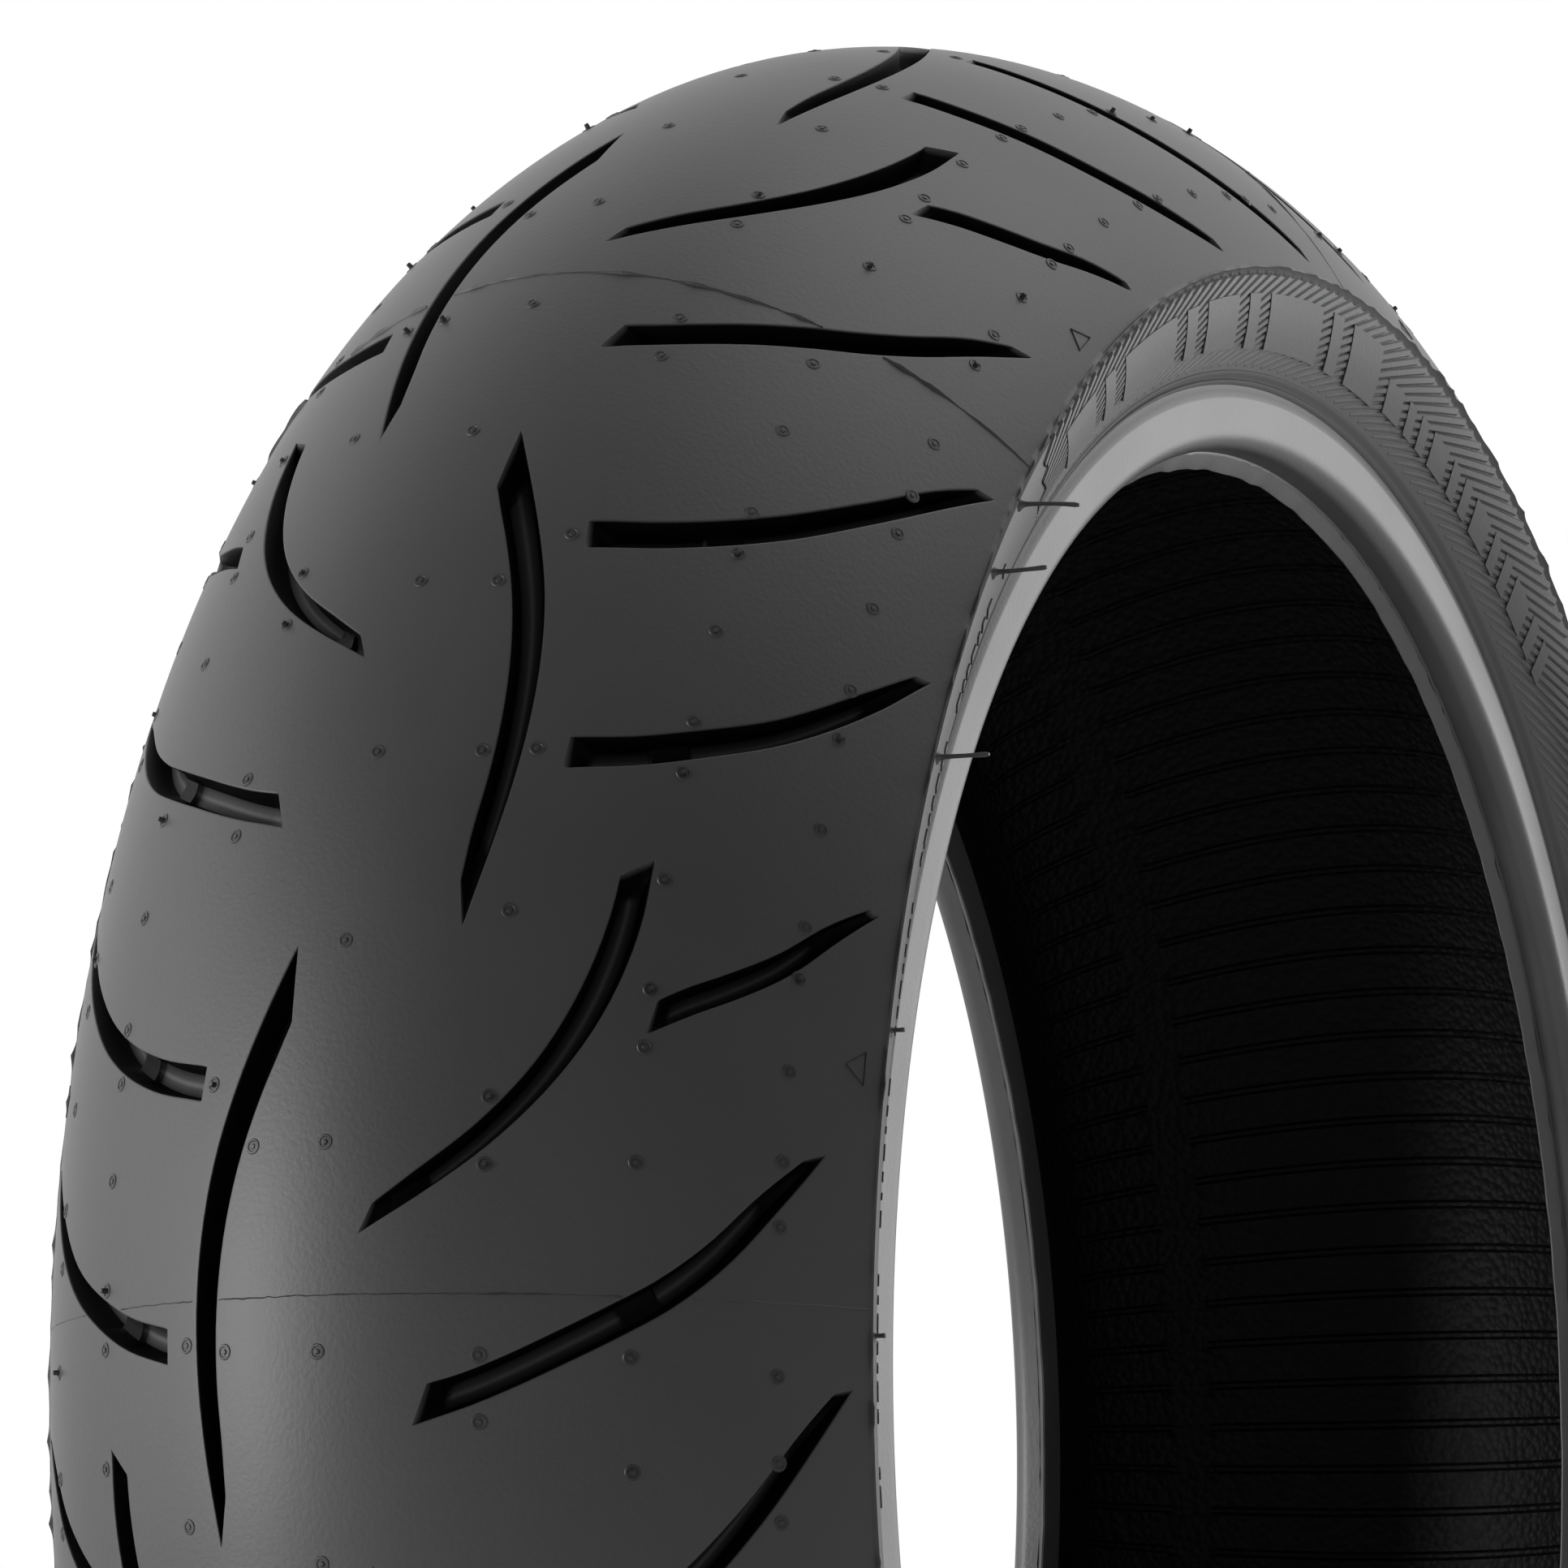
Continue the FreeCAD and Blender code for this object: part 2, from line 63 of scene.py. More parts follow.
# Turn at which the belt ends and the inside passes from the crown to the sidewall arc.
BELT_TURN = 50.0
CAP_DEPTH = 7.5
WING_DEPTH = 9.0
CUSHION_DEPTH = 10.2
LINER_DEPTH = 12.8
PLY_DEPTH = 11.4

# The tread pattern: eight repeats, the left half half a repeat behind the right.
REPEATS = 8
REPEAT = 360.0 / REPEATS
PATTERN_START = 133.0
PATTERN_LAG = REPEAT / 2
PER_DEGREE = OUTER_RADIUS * math.pi / 180


def crown_turn(along):
    """Angle in radians from the outward direction, at a distance along the crown."""
    reach = np.abs(along)
    outer = CROWN_TURN + (reach - FIRST_RUN) / SHOULDER_ARC
    return np.where(reach > FIRST_RUN, outer, reach / CROWN_ARC)


def crown_section(along, depth):
    """Radius and distance across of a crown point below the surface."""
    turn = crown_turn(along)
    outer = np.abs(along) > FIRST_RUN
    arc = np.where(outer, SHOULDER_ARC, CROWN_ARC) - depth
    radius = np.where(outer, SHOULDER_CENTRE[0], CROWN_CENTRE) + arc * np.cos(turn)
    across = np.where(outer, SHOULDER_CENTRE[1], 0.0) + arc * np.sin(turn)
    return radius, across * np.where(np.asarray(along) < 0, -1.0, 1.0)


def placed(radius, across, angle):
    """Points at a distance from the axle, a distance across and an angle round it."""
    turn = np.radians(angle)
    return np.stack([radius * np.cos(turn), across + 0 * turn, radius * np.sin(turn)], -1)


def crown(along, angle, depth):
    radius, across = crown_section(along, depth)
    return placed(radius, across, angle)


def crown_normal(along, angle):
    turn = crown_turn(along)
    side = np.where(np.asarray(along) < 0, -1.0, 1.0)
    return placed(np.cos(turn), np.sin(turn) * side, angle)


# ---------------------------------------------------------------- meshes
def grid_faces(columns, rows, loop_columns=True, loop_rows=True):
    """Four-sided faces of a grid of points that is stored column by column."""
    column = np.arange(columns if loop_columns else columns - 1)
    row = np.arange(rows if loop_rows else rows - 1)
    column, row = np.meshgrid(column, row, indexing="ij")
    next_column = (column + 1) % columns
    next_row = (row + 1) % rows
    quads = np.stack([column * rows + row, column * rows + next_row,
                      next_column * rows + next_row, next_column * rows + row], -1)
    return quads.reshape(-1, 4).tolist()


def make_mesh(name, points, faces, sharp):
    mesh = bpy.data.meshes.new(name)
    mesh.from_pydata((np.asarray(points).reshape(-1, 3) * MM).tolist(), [], faces)
    work = bmesh.new()
    work.from_mesh(mesh)
    bmesh.ops.recalc_face_normals(work, faces=work.faces)
    work.to_mesh(mesh)
    work.free()
    mesh.shade_smooth()
    mesh.set_sharp_from_angle(angle=math.radians(sharp))
    return mesh


def add_piece(name, mesh, material, nodes=()):
    piece = bpy.data.objects.new(name, mesh)
    scene.collection.objects.link(piece)
    mesh.materials.append(material)
    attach(piece, "root")
    if nodes:
        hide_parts(*nodes)
    return piece


class Bits:
    """Points and faces of many small shapes that make one piece."""

    def __init__(self):
        self.points = []
        self.faces = []

    def add(self, points, faces):
        first = len(self.points)
        self.points.extend(np.asarray(points).reshape(-1, 3).tolist())
        self.faces.extend([[first + corner for corner in face] for face in faces])

    def mesh(self, name, sharp=40.0):
        return make_mesh(name, self.points, self.faces, sharp)


def ragged(count, step, low, high):
    """A closed run of heights that changes at random every few columns."""
    knots = rng.uniform(low, high, count // step)
    places = np.arange(count) / step
    return np.interp(places, np.arange(len(knots) + 1), np.append(knots, knots[0]))


# ---------------------------------------------------------------- materials
def shader(name):
    material = bpy.data.materials.new(name)
    material.use_nodes = True
    nodes = material.node_tree.nodes
    return material, nodes, nodes["Principled BSDF"]


def wire(source, output, target, entry):
    """Connect one shader node's output to another's input."""
    source.id_data.links.new(source.outputs[output], target.inputs[entry])


def rubber(name, dark, light, rough, grain_size=900.0, grain=0.12, cloud_size=14.0):
    """Moulded rubber: a soft cloudy tone, a slightly uneven sheen and a fine grain."""
    material, nodes, surface = shader(name)
    place = nodes.new("ShaderNodeTexCoord")
    cloud = nodes.new("ShaderNodeTexNoise")
    cloud.inputs["Scale"].default_value = cloud_size
    cloud.inputs["Detail"].default_value = 4.0
    tone = nodes.new("ShaderNodeValToRGB")
    tone.color_ramp.elements[0].position = 0.35
    tone.color_ramp.elements[0].color = (*dark, 1.0)
    tone.color_ramp.elements[1].position = 0.65
    tone.color_ramp.elements[1].color = (*light, 1.0)
    sheen = nodes.new("ShaderNodeMapRange")
    sheen.inputs["To Min"].default_value = rough - 0.04
    sheen.inputs["To Max"].default_value = rough + 0.04
    fine = nodes.new("ShaderNodeTexNoise")
    fine.inputs["Scale"].default_value = grain_size
    bump = nodes.new("ShaderNodeBump")
    bump.inputs["Strength"].default_value = grain
    bump.inputs["Distance"].default_value = 0.0004
    wire(place, "Object", cloud, "Vector")
    wire(place, "Object", fine, "Vector")
    wire(cloud, "Fac", tone, "Fac")
    wire(cloud, "Fac", sheen, "Value")
    wire(tone, "Color", surface, "Base Color")
    wire(sheen, "Result", surface, "Roughness")
    wire(fine, "Fac", bump, "Height")
    wire(bump, "Normal", surface, "Normal")
    return material


def groove_shaded_rubber(name, dark, light, rough):
    """Tread rubber with painted shade on the groove walls: a near-black colour and less sheen,
    with a lighter painted highlight line along the groove floors.
    """
    material = rubber(name, dark, light, rough)
    nodes = material.node_tree.nodes
    surface = nodes["Principled BSDF"]
    groove_shade = nodes.new("ShaderNodeAttribute")
    groove_shade.attribute_name = "painted_groove_shade"
    tone = nodes.new("ShaderNodeMix")
    tone.data_type = "RGBA"
    # Near-black painted shade for the groove walls; the specular below is turned down with it.
    tone.inputs["B"].default_value = (0.0015, 0.0015, 0.0015, 1.0)
    shine = nodes.new("ShaderNodeMapRange")
    shine.inputs["To Min"].default_value = 0.5
    shine.inputs["To Max"].default_value = 0.05
    plain = surface.inputs["Base Color"].links[0].from_node
    wire(plain, "Color", tone, "A")
    wire(groove_shade, "Fac", tone, "Factor")
    wire(tone, "Result", surface, "Base Color")
    wire(groove_shade, "Fac", shine, "Value")
    wire(shine, "Result", surface, "Specular IOR Level")
    return material


def pebbled_rubber(name, colour, rough):
    """The liner's dull surface, pressed by the grain of the curing bladder."""
    material, nodes, surface = shader(name)
    place = nodes.new("ShaderNodeTexCoord")
    pebbles = nodes.new("ShaderNodeTexVoronoi")
    pebbles.inputs["Scale"].default_value = 480.0
    bump = nodes.new("ShaderNodeBump")
    bump.inputs["Strength"].default_value = 0.8
    bump.inputs["Distance"].default_value = 0.0006
    surface.inputs["Base Color"].default_value = (*colour, 1.0)
    surface.inputs["Roughness"].default_value = rough
    surface.inputs["Specular IOR Level"].default_value = 0.12
    wire(place, "Object", pebbles, "Vector")
    wire(pebbles, "Distance", bump, "Height")
    wire(bump, "Normal", surface, "Normal")
    return material


def woven(name, dark, light, scale):
    """Rubbered cord fabric: fine parallel cords."""
    material, nodes, surface = shader(name)
    place = nodes.new("ShaderNodeTexCoord")
    cords = nodes.new("ShaderNodeTexWave")
    cords.inputs["Scale"].default_value = scale
    tone = nodes.new("ShaderNodeMix")
    tone.data_type = "RGBA"
    tone.inputs["A"].default_value = (*dark, 1.0)
    tone.inputs["B"].default_value = (*light, 1.0)
    surface.inputs["Roughness"].default_value = 0.8
    wire(place, "Object", cords, "Vector")
    wire(cords, "Fac", tone, "Factor")
    wire(tone, "Result", surface, "Base Color")
    return material


def steel(name, colour, rough):
    """Drawn steel wire with a thin coat, a little uneven along its length."""
    material, nodes, surface = shader(name)
    place = nodes.new("ShaderNodeTexCoord")
    uneven = nodes.new("ShaderNodeTexNoise")
    uneven.inputs["Scale"].default_value = 120.0
    sheen = nodes.new("ShaderNodeMapRange")
    sheen.inputs["To Min"].default_value = rough - 0.08
    sheen.inputs["To Max"].default_value = rough + 0.08
    surface.inputs["Base Color"].default_value = (*colour, 1.0)
    surface.inputs["Metallic"].default_value = 1.0
    wire(place, "Object", uneven, "Vector")
    wire(uneven, "Fac", sheen, "Value")
    wire(sheen, "Result", surface, "Roughness")
    return material


def grey(level):
    return (level, level, level * 1.01)


TREAD_RUBBER = groove_shaded_rubber("tread_rubber", grey(0.026), grey(0.031), 0.48)
# The raised marks' darker tone is painted shade: they are the same rubber as the tread.
SHADED_MARK_RUBBER = rubber("shaded_mark_rubber", grey(0.010), grey(0.014), 0.5)
SIDEWALL_RUBBER = rubber("sidewall_rubber", grey(0.034), grey(0.040), 0.48)
CHAFER_RUBBER = rubber("chafer_rubber", grey(0.040), grey(0.050), 0.42, cloud_size=30.0)
BASE_RUBBER = rubber("base_rubber", grey(0.020), grey(0.026), 0.6)
CUSHION_RUBBER = rubber("cushion_rubber", grey(0.016), grey(0.022), 0.65)
FILLER_RUBBER = rubber("filler_rubber", grey(0.022), grey(0.028), 0.7)
# The liner's near-black colour is painted shade for the tire's shaded inside, on top of its own
# black rubber.
SHADED_LINER_RUBBER = pebbled_rubber("liner_rubber", grey(0.0016), 0.6)
PLY_FABRIC = woven("ply_fabric", (0.09, 0.07, 0.05), (0.16, 0.13, 0.09), 900.0)
WRAP_FABRIC = woven("wrap_fabric", (0.05, 0.05, 0.05), (0.12, 0.12, 0.11), 1200.0)
BELT_STRIP = steel("belt_strip", (0.42, 0.36, 0.25), 0.45)
BEAD_WIRE = steel("bead_wire", (0.50, 0.40, 0.26), 0.35)


# ---------------------------------------------------------------- tread grooves
# One repeat on the right half.  A row is a point of the groove's centre line: distance
# from the centre plane along the crown, angle past the repeat's start, groove width.
# skew is how much further one edge runs than the other at the groove's two ends, and
# wear_bar is the distance along the crown of the raised bar on the floor.
GROOVES = {
    "upper_slant": {
        "rows": [(107.6, 3.6, 2.4), (100.1, 5.4, 3.9), (85.8, 8.7, 4.9), (68.9, 11.6, 5.8),
                 (59.4, 12.7, 6.1), (47.0, 13.7, 6.5), (32.0, 14.4, 6.8)],
        "skew": (4.5, 1.0), "wear_bar": 60.0},
    "middle_slant": {
        "rows": [(107.8, 15.3, 2.2), (98.6, 17.6, 4.2), (79.3, 21.1, 5.3), (64.7, 22.6, 5.9),
                 (52.7, 23.5, 6.3), (39.0, 24.1, 6.7)],
        "skew": (4.0, 2.0), "wear_bar": 60.0},
    "short_slant": {
        "rows": [(107.5, 27.4, 1.8), (99.2, 28.95, 3.6), (89.0, 31.0, 4.7), (78.9, 32.4, 5.2),
                 (70.9, 33.3, 5.3), (63.5, 34.2, 5.0)],
        "skew": (2.0, 5.9), "wear_bar": None},
    "hook": {
        "rows": [(57.0, 28.3, 5.8), (56.3, 30.3, 6.2), (53.9, 32.5, 6.2), (50.1, 34.5, 5.9),
                 (44.7, 36.4, 5.3), (33.3, 39.0, 4.7), (19.2, 41.1, 4.2), (9.5, 42.3, 3.2)],
        "skew": (6.0, 6.8), "wear_bar": 17.5},
    "lower_slant": {
        "rows": [(99.8, 38.8, 2.2), (95.6, 39.8, 3.4), (90.2, 41.0, 4.6), (78.7, 43.45, 5.6),
                 (69.9, 44.8, 6.0), (58.9, 46.0, 6.2), (48.3, 47.0, 6.2), (39.1, 47.8, 6.2),
                 (31.0, 48.4, 6.3), (21.3, 48.95, 6.7)],
        "skew": (6.1, 5.8), "wear_bar": 65.0},
    "centre_sweep": {
        "rows": [(10.5, 11.0, 6.7), (14.9, 12.9, 7.0), (19.3, 14.9, 6.8), (24.0, 17.6, 6.5),
                 (26.7, 20.3, 6.0), (27.6, 22.9, 5.5), (27.0, 25.6, 5.0), (25.6, 27.7, 4.6),
                 (23.3, 30.6, 2.8)],
        "skew": (16.0, 11.5), "wear_bar": None},
}
GROOVE_DEPTH = 6.2
NARROW_TIP = 3.5
TIP_RAMP = 14.0
END_RAMP = 5.0
MOUTH_ROUND = 0.45
BAR_HALF = 4.0
BAR_HEIGHT = 1.1
STATION_GAP = 3.6

# Line between two repeats that no groove crosses: distance along the crown (negative on
# the right), angle past the repeat's start.
REPEAT_JOINT = [(-CAP_EDGE, 33.0), (-108, 33.0), (-80, 37.5), (-60, 40.3), (-45, 41.8),
                (-25, 44.6), (-7, 45.8), (0, 47.0), (5, 53.0), (12, 57.2), (25, 58.3),
                (33, 56.5), (42, 51.5), (50, 48.8), (58, 47.9), (70, 50.0), (80, 49.0),
                (95, 46.5), (108, 43.7), (CAP_EDGE, 42.75)]
EDGE_STEP = 0.75
FILL_GAP = 4.2


def through(rows, run, places):
    """Values at places along a run of rows, on a smooth curve through every row."""
    slopes = np.gradient(rows, run, axis=0)
    index = np.clip(np.searchsorted(run, places, side="right") - 1, 0, len(run) - 2)
    gap = (run[index + 1] - run[index])[:, None]
    t = (places - run[index])[:, None] / gap
    rise = t * t * (3 - 2 * t)
    leave = slopes[index] * gap * t * (1 - t) ** 2
    arrive = slopes[index + 1] * gap * t * t * (t - 1)
    return rows[index] * (1 - rise) + rows[index + 1] * rise + leave + arrive


def mm_per_degree(along):
    return PER_DEGREE * crown_section(along, 0.0)[0] / OUTER_RADIUS


def station_places(length, bar):
    """Distances along a groove where its cross-section is drawn."""
    ends = np.array([0.0, 1.2, 2.6, 4.2, 6.0])
    count = max(2, round((length - 12.0) / STATION_GAP))
    middle = np.linspace(6.0, length - 6.0, count + 1)
    places = np.concatenate([ends, middle, length - ends])
    if bar is not None:
        places = places[np.abs(places - bar) > BAR_HALF + 1.4]
        places = np.concatenate([places, bar + np.array([-4.8, -4.0, -1.5, 1.5, 4.0, 4.8])])
    places = np.sort(places)
    keep = np.concatenate([[True], np.diff(places) > 0.3])
    return places[keep]


def end_ramp(distance, width):
    """Share of the full depth at a distance from a groove's end."""
    if width < NARROW_TIP:
        return np.clip(distance / TIP_RAMP, 0, 1) ** 0.7
    return np.clip(distance / END_RAMP, 0, 1)


def lean(distance, skew):
    """How much of an end's skew is left at a distance from it."""
    return skew / 2 * np.clip(1 - distance / (1.5 * skew + 4), 0, 1) ** 1.5


def groove_grid(groove):
    """Distance along the crown, angle and depth of each cross-section point of a groove."""
    rows = np.array(groove["rows"])
    scale = mm_per_degree(rows[:, 0])
    step = np.hypot(np.diff(rows[:, 0]), np.diff(rows[:, 1]) * (scale[1:] + scale[:-1]) / 2)
    run = np.concatenate([[0.0], np.cumsum(step)])
    bar = None
    if groove["wear_bar"] is not None:
        bar = float(np.interp(groove["wear_bar"], rows[::-1, 0], run[::-1]))
    places = station_places(run[-1], bar)
    along, angle, width = through(rows, run, places).T
    scale = mm_per_degree(along)

    depth = GROOVE_DEPTH * end_ramp(places, rows[0, 2]) * end_ramp(run[-1] - places, rows[-1, 2])
    if bar is not None:
        depth = depth - BAR_HEIGHT * (np.abs(places - bar) < BAR_HALF + 0.1)

    half = width / 2
    share = depth / GROOVE_DEPTH
    offsets = [half + MOUTH_ROUND, half + 0.13, half, half - 0.05 - 0.2 * share,
               0.72 * half - 0.05, 0.24 * half]
    depths = [0 * depth, np.minimum(0.10, 0.15 * depth), np.minimum(0.45, 0.5 * depth),
              0.72 * depth, 0.93 * depth, 0.99 * depth]
    offset = np.stack([-value for value in offsets] + [0 * half] + offsets[::-1], 1)
    below = np.stack(depths + [depth] + depths[::-1], 1)

    run_x = np.gradient(angle, places) * scale
    run_w = np.gradient(along, places)
    size = np.hypot(run_x, run_w)
    run_x = (run_x / size)[:, None]
    run_w = (run_w / size)[:, None]
    tilt = (lean(run[-1] - places, groove["skew"][1]) - lean(places, groove["skew"][0]))
    shift = offset / (half + MOUTH_ROUND)[:, None] * tilt[:, None]
    grid_angle = angle[:, None] + (run_x * shift - run_w * offset) / scale[:, None]
    grid_along = along[:, None] + run_w * shift + run_x * offset
    return grid_along, grid_angle, below


def rim_of(stations, columns):
    """Indices round the mouth of a groove grid, in order."""
    index = np.arange(stations * columns).reshape(stations, columns)
    return np.concatenate([index[:, 0], index[-1, 1:-1], index[::-1, -1], index[0, -2:0:-1]])


def joint_points():
    points = []
    for (along, angle), (next_along, next_angle) in zip(REPEAT_JOINT, REPEAT_JOINT[1:]):
        length = math.hypot(next_along - along, (next_angle - angle) * PER_DEGREE)
        count = max(1, math.ceil(length / 3.8))
        for number in range(count):
            share = number / count
            points.append((along + (next_along - along) * share,
                           angle + (next_angle - angle) * share))
    return np.array(points + [REPEAT_JOINT[-1]])


def inside(places, loops):
    """True for each place that lies inside an odd number of the loops."""
    found = np.zeros(len(places), bool)
    x, y = places[:, :1], places[:, 1:]
    for loop in loops:
        a, b = loop, np.roll(loop, -1, axis=0)
        rise = np.where(b[:, 1] == a[:, 1], 1.0, b[:, 1] - a[:, 1])
        spans = (a[:, 1] > y) != (b[:, 1] > y)
        meets = a[:, 0] + (y - a[:, 1]) * (b[:, 0] - a[:, 0]) / rise
        found ^= (spans & (x < meets)).sum(1) % 2 == 1
    return found


def clear_of(places, loops, gap):
    """True for each place that is at least a gap away from every side of the loops."""
    clear = np.ones(len(places), bool)
    for loop in loops:
        a, b = loop, np.roll(loop, -1, axis=0)
        side = b - a
        length = (side ** 2).sum(1)
        share = ((places[:, None] - a) * side).sum(2) / np.maximum(length, 1e-9)
        near = a + np.clip(share, 0, 1)[..., None] * side
        distance = np.sqrt(((places[:, None] - near) ** 2).sum(2)).min(1)
        clear &= distance > gap
    return clear


def flat(along, angle):
    """The tread laid out flat: millimetres round the tire, millimetres across it."""
    return np.stack([np.asarray(angle) * PER_DEGREE, along], -1)


def tread_repeat():
    """One repeat: points (along, angle, depth), groove faces, fill faces, groove mouths."""
    along, angle, depth, faces, rims = [], [], [], [], []
    joint = np.array(REPEAT_JOINT)
    first = 0
    for side, lag in ((-1, 0.0), (1, PATTERN_LAG)):
        for groove in GROOVES.values():
            grid_along, grid_angle, below = groove_grid(groove)
            grid_along = side * grid_along
            grid_angle = grid_angle + lag
            stations, columns = below.shape
            middle = stations // 2, columns // 2
            start = np.interp(grid_along[middle], joint[:, 0], joint[:, 1])
            grid_angle -= REPEAT * math.floor((grid_angle[middle] - start) / REPEAT)
            faces += (np.array(grid_faces(stations, columns, False, False)) + first).tolist()
            rims.append(rim_of(stations, columns) + first)
            first += below.size
            along.append(grid_along.ravel())
            angle.append(grid_angle.ravel())
            depth.append(below.ravel())

    joint = joint_points()
    turns = round(REPEAT / EDGE_STEP)
    left = np.arange(1, turns) * EDGE_STEP + joint[-1, 1]
    right = np.arange(turns - 1, 0, -1) * EDGE_STEP + joint[0, 1]
    outline_along = np.concatenate([joint[:, 0], np.full(turns - 1, CAP_EDGE), joint[::-1, 0],
                                    np.full(turns - 1, -CAP_EDGE)])
    outline_angle = np.concatenate([joint[:, 1], left, joint[::-1, 1] + REPEAT, right])
    rims.append(np.arange(len(outline_along)) + first)
    along.append(outline_along)
    angle.append(outline_angle)

    corners = flat(np.concatenate(along), np.concatenate(angle))
    loops = [corners[rim] for rim in rims]
    low, high = loops[-1].min(0), loops[-1].max(0)
    row_gap = FILL_GAP * math.sqrt(3) / 2
    spots = []
    for number, y in enumerate(np.arange(low[1] + row_gap, high[1], row_gap)):
        x = np.arange(low[0], high[0], FILL_GAP) + (number % 2) * FILL_GAP / 2
        spots.append(np.stack([x, np.full_like(x, y)], 1))
    spots = np.concatenate(spots)
    spots = spots[inside(spots, loops)]
    spots = spots[clear_of(spots, loops, 0.55 * FILL_GAP)]
    along.append(spots[:, 1])
    angle.append(spots[:, 0] / PER_DEGREE)
    depth.append(np.zeros(len(outline_along) + len(spots)))

    used = np.concatenate(rims + [np.arange(len(spots)) + len(corners)])
    corners = np.concatenate([corners, spots])
    place_of = {int(corner): number for number, corner in enumerate(used)}
    edges = []
    for rim in rims:
        numbers = [place_of[int(corner)] for corner in rim]
        edges += list(zip(numbers, numbers[1:] + numbers[:1]))
    vectors = [Vector(corners[corner]) for corner in used]
    result = delaunay_2d_cdt(vectors, edges, [], 0, 1e-5)
    origin = [used[item[0]] if item else -1 for item in result[3]]
    fill = np.array([[origin[corner] for corner in face] for face in result[2]])
    fill = fill[(fill >= 0).all(1)]
    fill = fill[inside(corners[fill].mean(1), loops)]
    points = np.stack([np.concatenate(along), np.concatenate(angle), np.concatenate(depth)], 1)
    return points, faces, fill, loops[:-1]


def tread_cap():
    """The grooved tread cap: eight repeats over a plain underside.  Returns groove mouths."""
    points, groove_faces, fill, mouths = tread_repeat()
    along, angle, depth = points.T
    all_along, all_angle, all_depth, tops, walls = [], [], [], [], []
    for number in range(REPEATS):
        first = number * len(points)
        all_along.append(along)
        all_angle.append(angle + PATTERN_START + number * REPEAT)
        all_depth.append(depth)
        tops += (fill + first).tolist()
        walls += (np.array(groove_faces) + first).tolist()

    first = REPEATS * len(points)
    columns = round(360 / EDGE_STEP)
    rows = np.linspace(-CAP_EDGE, CAP_EDGE, 13)
    rows = np.concatenate([[-CAP_EDGE], rows, [CAP_EDGE]])
    under = np.array([0.0] + [CAP_DEPTH] * 13 + [0.0])
    turn = PATTERN_START + REPEAT_JOINT[0][1] + np.arange(columns) * EDGE_STEP
    all_along.append(np.tile(rows, columns))
    all_angle.append(np.repeat(turn, len(rows)))
    all_depth.append(np.tile(under, columns))
    walls += (np.array(grid_faces(columns, len(rows), True, False)) + first).tolist()

    all_along = np.concatenate(all_along)
    all_angle = np.concatenate(all_angle)
    corners = crown(all_along, all_angle, np.concatenate(all_depth))
    corners, chosen, joined = np.unique(np.round(corners, 3), axis=0, return_index=True,
                                        return_inverse=True)
    joined = joined.ravel()
    faces = [list(dict.fromkeys(joined[face].tolist())) for face in tops + walls]
    faces = [face for face in faces if len(face) > 2]
    mesh = make_mesh("tread_cap_rubber", corners, faces, 38.0)
    below = np.concatenate(all_depth)[chosen]
    # Painted shade for the groove walls and a lighter painted highlight on the floor centres,
    # read by the tread material.
    groove_shade = mesh.attributes.new("painted_groove_shade", "FLOAT", "POINT")
    groove_shade.data.foreach_set("value", groove_shade_tone(below).astype(np.float32))
    outward = crown_normal(all_along[chosen], all_angle[chosen])
    set_outward_normals(mesh, outward, len(tops))
    add_piece("tread_cap_rubber", mesh, TREAD_RUBBER, ["tread_cap"])
    return mouths


def groove_shade_tone(below):
    """How much painted shade a point gets at a depth: none outside, most on the walls, less at
    the floor's centre as a painted highlight.
    """
    walls = np.clip(below / 0.4, 0, 1)
    floor = np.clip((below / GROOVE_DEPTH - 0.985) / 0.015, 0, 1)
    return walls * (1 - 0.8 * floor)


def set_outward_normals(mesh, outward, count):
    """Give the first faces the crown's true normals; the others keep their own."""
    corner = np.zeros(len(mesh.loops), np.int32)
    mesh.loops.foreach_get("vertex_index", corner)
    total = np.zeros(len(mesh.polygons), np.int32)
    mesh.polygons.foreach_get("loop_total", total)
    first = np.arange(len(total)) < count
    chosen = np.repeat(first, total)
    normals = np.zeros((len(corner), 3))
    normals[chosen] = outward[corner[chosen]]
    mesh.normals_split_custom_set(normals.tolist())


groove_mouths = tread_cap()


# ---------------------------------------------------------------- marks on the tread
# Air vents of one repeat on the right half: distance along the crown, angles.
VENTS = {
    92.7: (3.0, 6.5, 8.9, 13.3, 17.7, 20.2, 24.6, 29.1, 31.4, 35.4, 39.2, 41.9),
    62.7: (2.3, 6.6, 11.3, 13.5, 17.4, 21.7, 24.0, 28.6, 33.1, 35.4, 39.9),
    33.1: (2.2, 4.6, 24.1, 30.7, 37.8, 40.3),
    29.1: (14.5,),
    22.3: (24.4,),
    17.0: (17.0,),
}
VENT_SIDES = 12
VENT_PROFILE = [(1.75, -0.12), (1.5, 0.17), (1.15, 0.19), (1.0, 0.03), (0.62, 0.03)]


def vent_mark(bits, along, angle, nub):
    """A low ring with a small cut stub of rubber in its middle."""
    middle = crown(along, angle, 0.0)
    outward = crown_normal(along, angle)
    round_way = placed(0.0, 0.0, angle) + crown_normal(0.0, angle + 90.0)
    across = np.cross(outward, round_way)
    profile = VENT_PROFILE + [(0.48, nub), (0.2, nub + 0.03)]
    turn = np.arange(VENT_SIDES) * 2 * math.pi / VENT_SIDES
    points = []
    for radius, height in profile:
        ring = np.cos(turn)[:, None] * round_way + np.sin(turn)[:, None] * across
        points.append(middle + ring * radius + outward * height)
    faces = grid_faces(len(profile), VENT_SIDES, False, True)
    last = (len(profile) - 1) * VENT_SIDES
    faces.append(list(range(VENT_SIDES)))
    faces.append([last + number for number in range(VENT_SIDES)])
    bits.add(np.array(points), faces)


